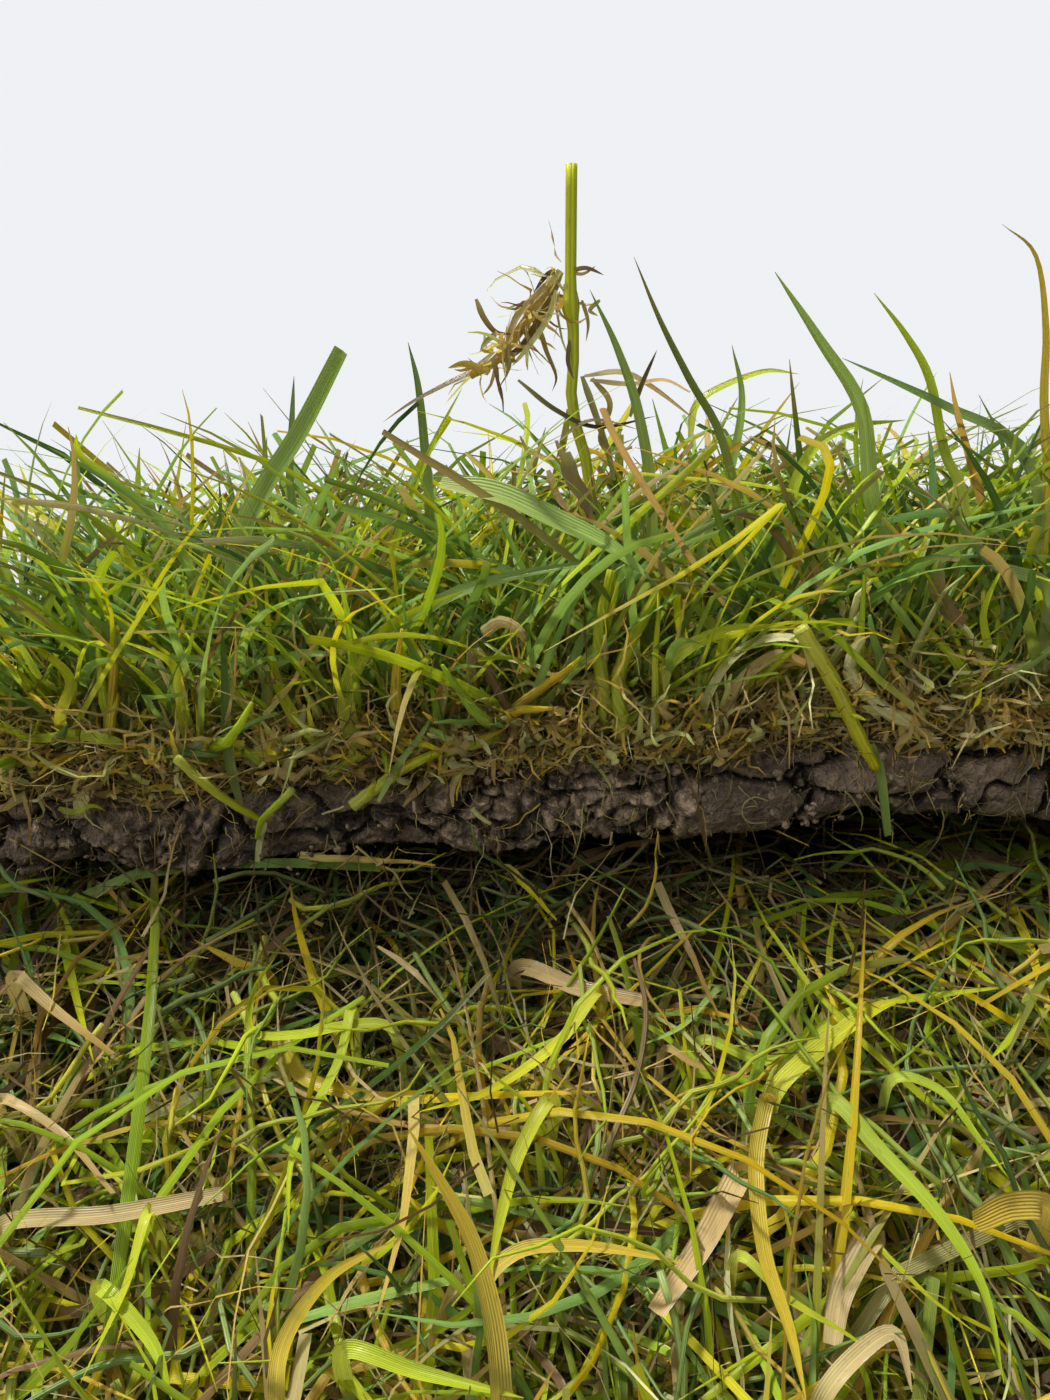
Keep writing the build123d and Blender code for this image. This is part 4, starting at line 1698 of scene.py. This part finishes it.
@dataclass
class FlowerStalk:
    """The uncut flower stalk: a smooth top, its joint, and a bent stem below in a tangle of dry sheaths.

    Its places are in metres, and behind is in millimetres from the cut face. Below the joint it bends over
    bend_run, and the bead is the joint's swelling. Shreds are torn bits of sheath.
    """

    winding: Winding
    portraits: Portraits
    side: float = -0.098
    foot: float = 0.322
    joint: float = 0.397
    top: float = 0.420
    behind: float = 25.0
    radius: float = 0.00105
    bead: float = 0.00065
    bead_reach: float = 0.0019
    bend: tuple[float, float] = (0.006, 0.004)
    bend_run: float = 0.07
    sides: int = 10
    column: float = 34.0
    shred_count: int = 70
    shred_step: tuple[float, float] = (0.0009, 0.0026)
    shred_width: tuple[float, float] = (0.2, 1.1)
    shred_taper: tuple[float, ...] = (1, 1, 0.9, 0.8, 0.6, 0.15)

    def stem(self, surface: Surface) -> None:
        """The stem as one tube from inside the mat to its cut top, swollen into a bead at the joint."""
        y = self.portraits.cut_y() + self.behind * MM
        lower = np.linspace(self.foot, self.joint - 0.004, 14)
        beaded = self.joint + np.linspace(-0.0026, 0.0026, 7)
        z = np.concatenate([lower, beaded, np.linspace(self.joint + 0.0045, self.top, 6)])
        lean = np.clip((self.joint - z) / self.bend_run, 0, 1)
        wavy = 0.0012 * np.sin(z * 210) * np.clip(lean * 4, 0, 1)
        x = self.side + self.bend[0] * lean + wavy
        path = np.stack([x, y + self.bend[1] * lean**2, z], axis=-1)[None]
        bead = np.exp(-(((z - self.joint) / self.bead_reach) ** 2))
        radius = (self.radius + self.bead * bead)[None]
        add_tubes(surface, path, radius, np.array([self.column]), self.sides, FRESH_STRAND)

    def shreds(self, surface: Surface, rng: np.random.Generator) -> None:
        """Torn shreds of dry sheath: short wandering ribbons whose roots lie along the hanging bundle."""
        line = self.portraits.trace(SHEATHS[0], Anchor.LAP)
        count = self.shred_count
        points = len(self.shred_taper)
        pick = rng.random(count) ** 1.3 * (len(line) - 1.001)
        cell = pick.astype(int)
        roots = line[cell] + (line[cell + 1] - line[cell]) * (pick - cell)[:, None]
        roots = roots + rng.normal(0, 0.0011, (count, 3))
        away = rng.normal(0, 1, (count, 3)) + np.array([-0.5, 0.0, -1.0])
        step = unit(away)[:, None] + np.cumsum(rng.normal(0, 0.35, (count, points - 1, 3)), axis=1)
        walked = np.cumsum(unit(step) * spread(rng, *self.shred_step, count)[:, None, None], axis=1)
        path = np.concatenate([roots[:, None], roots[:, None] + walked], axis=1)
        width = spread(rng, *self.shred_width, count)[:, None] * MM * np.array(self.shred_taper)
        across = unit(rng.normal(0, 1, (count, 1, 3))) + rng.normal(0, 0.3, (count, points, 3))
        add_ribbons(surface, path, across, width, 0.1, columns_of(CHAFF, count, rng), 3)

    def build(self) -> None:
        """Build the stem and its dry sheaths in place of the plain stalk."""
        surface = Surface()
        self.stem(surface)
        rng = np.random.default_rng(3)
        for strand in SHEATHS:
            self.portraits.add(strand, Anchor.LAP, surface, rng)
        self.shreds(surface, rng)
        stalk = surface.build("flower_stem", self.portraits.leaf, "stalk")
        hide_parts("flower_stalk")


# Strands on the free end
ON_LAP = (
    # Blades of the lawn on the left, and the mown one among them
    Drawn((226, 640, 240, 540, 262, 490, 300, 430, 341, 350), 4.2, Tint.GREEN, (12, 2), Form.MOWN),
    Drawn((205, 620, 185, 560, 150, 510, 105, 478, 48, 447), 2.0, Tint.GREEN, (14, 4)),
    Drawn((150, 520, 110, 480, 80, 455, 76, 434), 1.6, Tint.LIME, (9, 4), Form.STRAY),
    Drawn((128, 640, 100, 600, 60, 545, 24, 514), 1.8, Tint.GREEN, (8, 2)),
    Drawn((250, 640, 240, 580, 205, 545, 165, 505, 100, 492), 1.6, Tint.GREEN, (16, 8)),
    # Bright blades left of the middle, some with a knee
    Drawn((318, 742, 290, 710, 272, 660, 264, 560), 2.6, Tint.LIME, (-2, 3)),
    Drawn((356, 748, 346, 700, 362, 655, 400, 620, 466, 590), 3.0, Tint.LIME, (-2, -3)),
    Drawn((352, 742, 338, 700, 340, 650, 352, 600), 2.4, Tint.PALE, (-1, 4)),
    Drawn((340, 700, 380, 650, 440, 600, 520, 574, 624, 558), 2.6, Tint.GREEN, (2, -7)),
    Drawn((440, 482, 500, 492, 560, 520, 610, 545, 652, 580), 4.4, Tint.GREEN, (-6, -14), Form.STRAY),
    Drawn((262, 670, 200, 660, 130, 655), 1.8, Tint.GREEN, (3, -3)),
    Drawn((262, 670, 300, 654, 336, 655), 1.6, Tint.GREEN, (3, -2), Form.STRAY),
    # The forked shoot that hangs over the cut face, and the dark blade behind it
    Drawn((176, 758, 205, 784, 236, 806, 262, 820), 1.5, Tint.LIME, (-10, -3), Form.TWIG),
    Drawn((292, 790, 278, 804, 262, 820, 257, 838), 1.3, Tint.LIME, (-8, -2), Form.TWIG),
    Drawn((266, 822, 260, 840, 257, 862), 1.2, Tint.PALE, (-1.5, -1.5), Form.SCRAP),
    Drawn((240, 806, 228, 750, 225, 680, 222, 630), 1.7, Tint.DEEP, (-3, -7), Form.STRAY),
    # Shoots that lie across the cut face right of it
    Drawn((352, 806, 376, 788, 404, 768, 440, 751), 2.2, Tint.LIME, (-3, -2), Form.TWIG),
    Drawn((444, 750, 478, 742, 514, 732, 562, 715), 2.3, Tint.LIME, (-2, 2), Form.TWIG),
    Drawn((326, 772, 356, 757, 392, 740), 2.1, Tint.LIME, (-2, 1), Form.TWIG),
    Drawn((378, 802, 396, 768, 420, 736, 434, 712), 1.1, Tint.GREEN, (-4, -3), Form.STRAY),
    # Hairs, roots and bits of straw on the soil
    Drawn((472, 808, 480, 817, 491, 824), 0.9, Tint.PALE, (-1.5, -2), Form.TWIG),
    Drawn((768, 801, 755, 797, 744, 804, 743, 816, 752, 823, 769, 822), 0.3, Tint.PALE, (-1, -1), Form.TWIG),
    Drawn((356, 846, 378, 864, 394, 872, 404, 890, 413, 900), 0.45, Tint.STRAW, (-2, -4), Form.TWIG),
    Drawn((358, 850, 346, 862, 336, 870), 0.4, Tint.STRAW, (-2, -3), Form.TWIG),
    Drawn((376, 866, 388, 858, 392, 852), 0.8, Tint.STRAW, (-3, -3), Form.SCRAP),
    Drawn((322, 814, 338, 809, 344, 806), 0.4, Tint.PALE, (-1, -2), Form.TWIG),
    Drawn((612, 832, 610, 845), 0.4, Tint.STRAW, (-1, -1), Form.TWIG),
    # Short stubs at the left end of the cut face
    Drawn((76, 812, 84, 798, 93, 790), 3.0, Tint.PALE, (-2, -2), Form.SCRAP),
    Drawn((58, 808, 74, 812, 92, 806, 106, 811), 1.4, Tint.LIME, (-2, -4), Form.STRAY),
    # Stems and blades in the middle
    Drawn((606, 705, 600, 660, 602, 620, 612, 570), 2.6, Tint.LIME, (-1, 1), Form.STEM),
    Drawn((622, 722, 618, 680, 632, 640, 660, 590), 2.6, Tint.LIME, (-2, 0), Form.STEM),
    Drawn((630, 720, 648, 660, 650, 590, 640, 500), 2.4, Tint.GREEN, (5, 8)),
    Drawn((596, 690, 592, 620, 600, 540, 590, 470), 2.2, Tint.GREEN, (6, 10)),
    # The bent stem that hangs over the cut face, and its tip
    Drawn((664, 674, 690, 646, 736, 629, 800, 628), 2.6, Tint.LIME, (-2, -6)),
    Drawn((800, 628, 830, 676, 858, 734, 876, 768), 2.5, Tint.LIME, (-6, -3), Form.TWIG),
    Drawn((872, 744, 880, 770, 884, 800, 888, 836), 2.0, Tint.GREEN, (-2, -4), Form.SCRAP),
    # Pale arcs of dead leaf on the right
    Drawn((706, 700, 728, 662, 760, 640, 800, 640, 812, 668), 2.2, Tint.PALE, (-2, -6), Form.MOWN),
    Drawn((724, 712, 742, 680, 776, 655, 806, 664), 2.4, Tint.STRAW, (-2, -5), Form.MOWN),
    Drawn((912, 724, 880, 706, 850, 672, 862, 636), 2.5, Tint.PALE, (-3, -2), Form.TWIG),
    # Bright and dark blades at the right edge
    Drawn((1010, 720, 975, 700, 955, 660, 900, 600), 2.4, Tint.LIME, (-1, 2)),
    Drawn((1050, 596, 1000, 566, 964, 530, 944, 486), 3.4, Tint.GREEN, (-2, -12)),
    # Tall blades that stand out over the lawn
    Drawn((740, 540, 722, 440, 690, 380, 660, 320, 634, 257), 2.4, Tint.GREEN, (10, 6)),
    Drawn((896, 600, 872, 500, 862, 410, 820, 340, 775, 272), 2.9, Tint.GREEN, (12, 4)),
    Drawn((1040, 520, 1012, 442, 950, 408, 900, 384, 842, 358), 2.7, Tint.GREEN, (12, 6)),
    Drawn((965, 520, 944, 450, 930, 380, 906, 335, 874, 293), 1.9, Tint.LIME, (12, 8)),
    Drawn((1046, 520, 1044, 400, 1046, 330, 1036, 256, 1002, 224), 2.0, Tint.GOLD, (14, 10)),
    Drawn((652, 520, 640, 420, 618, 350, 590, 290), 2.2, Tint.GREEN, (14, 16)),
    Drawn((430, 520, 424, 440, 418, 385, 408, 342), 1.8, Tint.GREEN, (22, 26)),
    Drawn((820, 620, 812, 560, 764, 500, 700, 480), 2.0, Tint.STRAW, (8, 4)),
    Drawn((832, 600, 800, 566, 760, 520, 688, 508), 1.7, Tint.BROWN, (10, 4), Form.STRAY),
    Drawn((700, 560, 730, 470, 742, 400, 732, 345), 2.0, Tint.GREEN, (18, 22)),
    Drawn((780, 560, 800, 470, 840, 430, 905, 420), 2.2, Tint.LIME, (14, 12)),
    Drawn((984, 690, 988, 650, 984, 610, 1006, 560), 1.8, Tint.LIME, (2, -2)),
    # Curled dead leaves
    Drawn((936, 558, 938, 590, 950, 612, 966, 622), 2.6, Tint.BROWN, (0, -2), Form.SCRAP),
    Drawn((566, 452, 572, 478, 586, 500, 590, 524), 2.8, Tint.BROWN, (6, 4), Form.STRAY),
    Drawn((484, 632, 500, 622, 516, 628, 526, 640), 2.0, Tint.STRAW, (0, -3), Form.TWIG),
    Drawn((474, 655, 492, 680, 512, 716), 2.2, Tint.BROWN, (2, 0), Form.STEM),
    # Bright blades at the left edge
    Drawn((184, 720, 180, 690, 168, 660, 120, 640), 2.2, Tint.LIME, (-2, -6)),
    Drawn((120, 745, 80, 735, 30, 738, 0, 720), 2.2, Tint.LIME, (-2, -4)),
    Drawn((60, 720, 70, 680, 40, 650, 0, 628), 2.2, Tint.LIME, (-1, -4)),
    # Single blades in the lawn
    Drawn((400, 640, 392, 600, 396, 540, 430, 450, 462, 388), 1.7, Tint.LIME, (12, 20)),
    Drawn((560, 600, 520, 575, 470, 560, 446, 566), 2.6, Tint.DEEP, (12, 8)),
    Drawn((690, 440, 700, 400, 760, 372, 800, 374), 1.5, Tint.LIME, (20, 24), Form.STRAY),
    Drawn((300, 560, 290, 480, 292, 420, 294, 376), 1.6, Tint.GREEN, (26, 30)),
)

# Blades, straws and stems on the turn below
ON_TURN = (
    Drawn(
        (400, 1050, 384, 1024, 340, 1026, 300, 1034, 252, 1032, 254, 990, 275, 958),
        2.0, Tint.LIME, (18, 26),
    ),
    Drawn((502, 1400, 494, 1320, 472, 1240, 440, 1180, 408, 1128), 2.9, Tint.GOLD, (26, 34)),
    Drawn((518, 968, 580, 988, 642, 1000), 2.8, Tint.STRAW, (14, 18), Form.MOWN),
    Drawn((14, 978, 60, 1014, 110, 1052), 3.0, Tint.STRAW, (18, 22), Form.MOWN),
    Drawn((770, 1092, 800, 1046, 860, 1008, 930, 996, 1032, 984), 2.6, Tint.LIME, (16, 20)),
    Drawn((776, 1090, 830, 1040, 872, 1010, 905, 998), 3.0, Tint.LIME, (18, 22)),
    Drawn((768, 1096, 756, 1160, 764, 1250, 790, 1330, 806, 1400), 2.4, Tint.GOLD, (20, 26)),
    Drawn((830, 1100, 880, 1150, 940, 1216, 984, 1290, 1004, 1384), 2.2, Tint.LIME, (22, 26)),
    Drawn((742, 1172, 704, 1240, 656, 1312), 3.6, Tint.STRAW, (18, 20), Form.MOWN),
    Drawn((872, 1236, 842, 1290, 832, 1344), 3.4, Tint.STRAW, (18, 20), Form.MOWN),
    Drawn((484, 1286, 516, 1252, 560, 1245, 620, 1250, 688, 1264), 2.2, Tint.GOLD, (20, 24)),
    Drawn((1006, 938, 920, 941, 850, 930, 794, 914), 1.7, Tint.LIME, (10, 14)),
    Drawn((828, 996, 830, 944, 838, 898), 1.5, Tint.LIME, (12, 18)),
    Drawn((270, 980, 240, 964, 194, 940), 2.2, Tint.GOLD, (12, 16)),
    Drawn((606, 1156, 636, 1080, 646, 1010, 634, 958), 0.9, Tint.BROWN, (18, 22), Form.STEM),
    Drawn((600, 990, 560, 1040, 490, 1090, 418, 1112), 1.9, Tint.LIME, (18, 20)),
    Drawn((280, 1040, 302, 1076, 370, 1096, 432, 1090), 2.2, Tint.GOLD, (18, 20)),
    Drawn((352, 1008, 338, 1062, 294, 1150, 288, 1236), 1.8, Tint.LIME, (20, 22)),
    Drawn((552, 1098, 520, 1150, 500, 1220, 488, 1284), 2.0, Tint.LIME, (20, 22)),
    Drawn((1050, 1214, 1014, 1206, 976, 1222), 3.4, Tint.GOLD, (24, 28), Form.MOWN),
    Drawn((822, 1398, 860, 1352, 896, 1334, 912, 1392), 2.6, Tint.STRAW, (24, 26)),
    Drawn((738, 1256, 790, 1300, 850, 1336, 904, 1380), 1.8, Tint.LIME, (22, 24)),
    Drawn((0, 1100, 60, 1132, 112, 1192), 2.2, Tint.STRAW, (20, 22), Form.MOWN),
    Drawn((0, 1226, 110, 1214, 222, 1194), 2.4, Tint.STRAW, (20, 22), Form.MOWN),
    Drawn((150, 1210, 124, 1290, 80, 1384), 1.9, Tint.LIME, (22, 24)),
    Drawn((98, 1286, 150, 1340, 172, 1400), 1.9, Tint.LIME, (22, 24)),
    Drawn((276, 1396, 286, 1336, 330, 1276, 396, 1240), 2.0, Tint.GOLD, (22, 24)),
    Drawn((344, 1350, 420, 1372, 524, 1398), 2.0, Tint.LIME, (24, 26)),
    Drawn((664, 1050, 700, 1066, 776, 1082), 1.2, Tint.STRAW, (16, 18)),
    Drawn((1032, 984, 1016, 1030, 990, 1060), 1.8, Tint.LIME, (18, 20), Form.STRAY),
    Drawn((892, 1080, 940, 1090, 980, 1140, 1010, 1180), 2.2, Tint.LIME, (20, 22)),
    Drawn((700, 1040, 760, 1060, 800, 1040, 820, 1000), 1.5, Tint.LIME, (16, 18)),
    Drawn((722, 988, 682, 1026, 640, 1046), 1.6, Tint.GREEN, (16, 18)),
)

# The stalk's dry sheaths, which stand over the free end
SHEATHS = (
    # The hanging bundle, whose first strand the shreds lie along
    Drawn((560, 270, 540, 300, 520, 330, 496, 360, 470, 376), 1.9, Tint.STRAW, (25, 22), Form.SCRAP),
    Drawn((562, 272, 546, 306, 524, 344, 500, 362), 1.4, Tint.BROWN, (26, 24), Form.SCRAP),
    Drawn((558, 274, 536, 296, 516, 318, 508, 346, 514, 362), 1.3, Tint.STRAW, (24, 22), Form.SCRAP),
    Drawn((556, 290, 548, 318, 524, 352, 512, 366), 1.2, Tint.PALE, (23, 22), Form.STRAY),
    Drawn((494, 352, 470, 372, 446, 384, 412, 402, 383, 422), 1.2, Tint.BROWN, (24, 20), Form.STRAY),
    Drawn((488, 372, 466, 364, 448, 368), 1.4, Tint.GOLD, (22, 20), Form.STRAY),
    Drawn((476, 299, 484, 318, 496, 332, 512, 334), 1.1, Tint.BROWN, (21, 23), Form.STRAY),
    Drawn((498, 332, 486, 342, 480, 352), 1.1, Tint.BROWN, (22, 21), Form.STRAY),
    Drawn((540, 328, 546, 350, 556, 376, 552, 392), 1.2, Tint.STRAW, (24, 22), Form.STRAY),
    # Bits at the joint
    Drawn((568, 272, 586, 268, 604, 275), 0.8, Tint.BROWN, (25, 22), Form.STRAY),
    Drawn((566, 270, 582, 274, 596, 266), 0.6, Tint.STRAW, (25, 23), Form.STRAY),
    Drawn((556, 270, 546, 276, 534, 292), 1.0, Tint.UMBER, (25, 23), Form.STRAY),
    Drawn((582, 300, 588, 322, 586, 342), 1.0, Tint.STRAW, (24, 22), Form.STRAY),
    Drawn((570, 340, 568, 362, 574, 380), 1.2, Tint.BROWN, (24, 22), Form.STRAY),
    # Dead leaves that arch from the stem
    Drawn((584, 376, 622, 372, 654, 388, 698, 422), 1.2, Tint.STRAW, (25, 18), Form.STRAY),
    Drawn((590, 380, 630, 384, 664, 380, 690, 392), 1.4, Tint.STRAW, (23, 17), Form.SCRAP),
    Drawn((582, 376, 594, 410, 608, 452, 614, 480), 1.4, Tint.BROWN, (25, 18), Form.SCRAP),
    Drawn((592, 378, 610, 404, 600, 440, 618, 462), 1.4, Tint.STRAW, (24, 19), Form.STRAY),
    Drawn((518, 380, 556, 410, 598, 427, 656, 416), 0.9, Tint.UMBER, (20, 16), Form.STRAY),
    Drawn((560, 440, 580, 424, 602, 420, 640, 430), 0.8, Tint.BROWN, (19, 15), Form.STRAY),
    Drawn((630, 417, 642, 384, 657, 350), 1.2, Tint.UMBER, (18, 14), Form.STRAY),
    Drawn((556, 440, 572, 478, 588, 518), 1.4, Tint.BROWN, (14, 8), Form.STRAY),
    Drawn((548, 470, 560, 500, 584, 520), 1.4, Tint.STRAW, (13, 9), Form.STRAY),
    Drawn((465, 452, 490, 476, 514, 508), 1.0, Tint.GOLD, (12, 8), Form.STRAY),
    Drawn((520, 436, 530, 452, 556, 458, 570, 446), 0.8, Tint.STRAW, (18, 16), Form.STRAY),
    Drawn((600, 300, 590, 310, 598, 316), 0.8, Tint.STRAW, (23, 22), Form.STRAY),
)


def main() -> None:
    """Build the roll's pieces in order, and say what each one holds."""
    logging.basicConfig(level=logging.INFO)
    winding = Winding()
    studio = Studio(winding)
    studio.build()
    leaf = LeafFinish().make()
    soil = SoilFinish().make()
    TurfMat(winding, soil).build()
    RollEnds(winding, soil, leaf).build()
    Thatch(winding, leaf).build()
    grower = Grower(winding)
    rng = np.random.default_rng(7)
    for habit in PATCHES:
        surface = Surface()
        LOG.info("%s grew %d blades", habit.name, grower.grow(habit, rng, surface))
        surface.build(habit.name, leaf, "grass")
    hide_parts("grass")
    portraits = Portraits(winding, studio, leaf)
    portraits.build()
    FlowerStalk(winding, portraits).build()


if __name__ == "__main__":
    main()
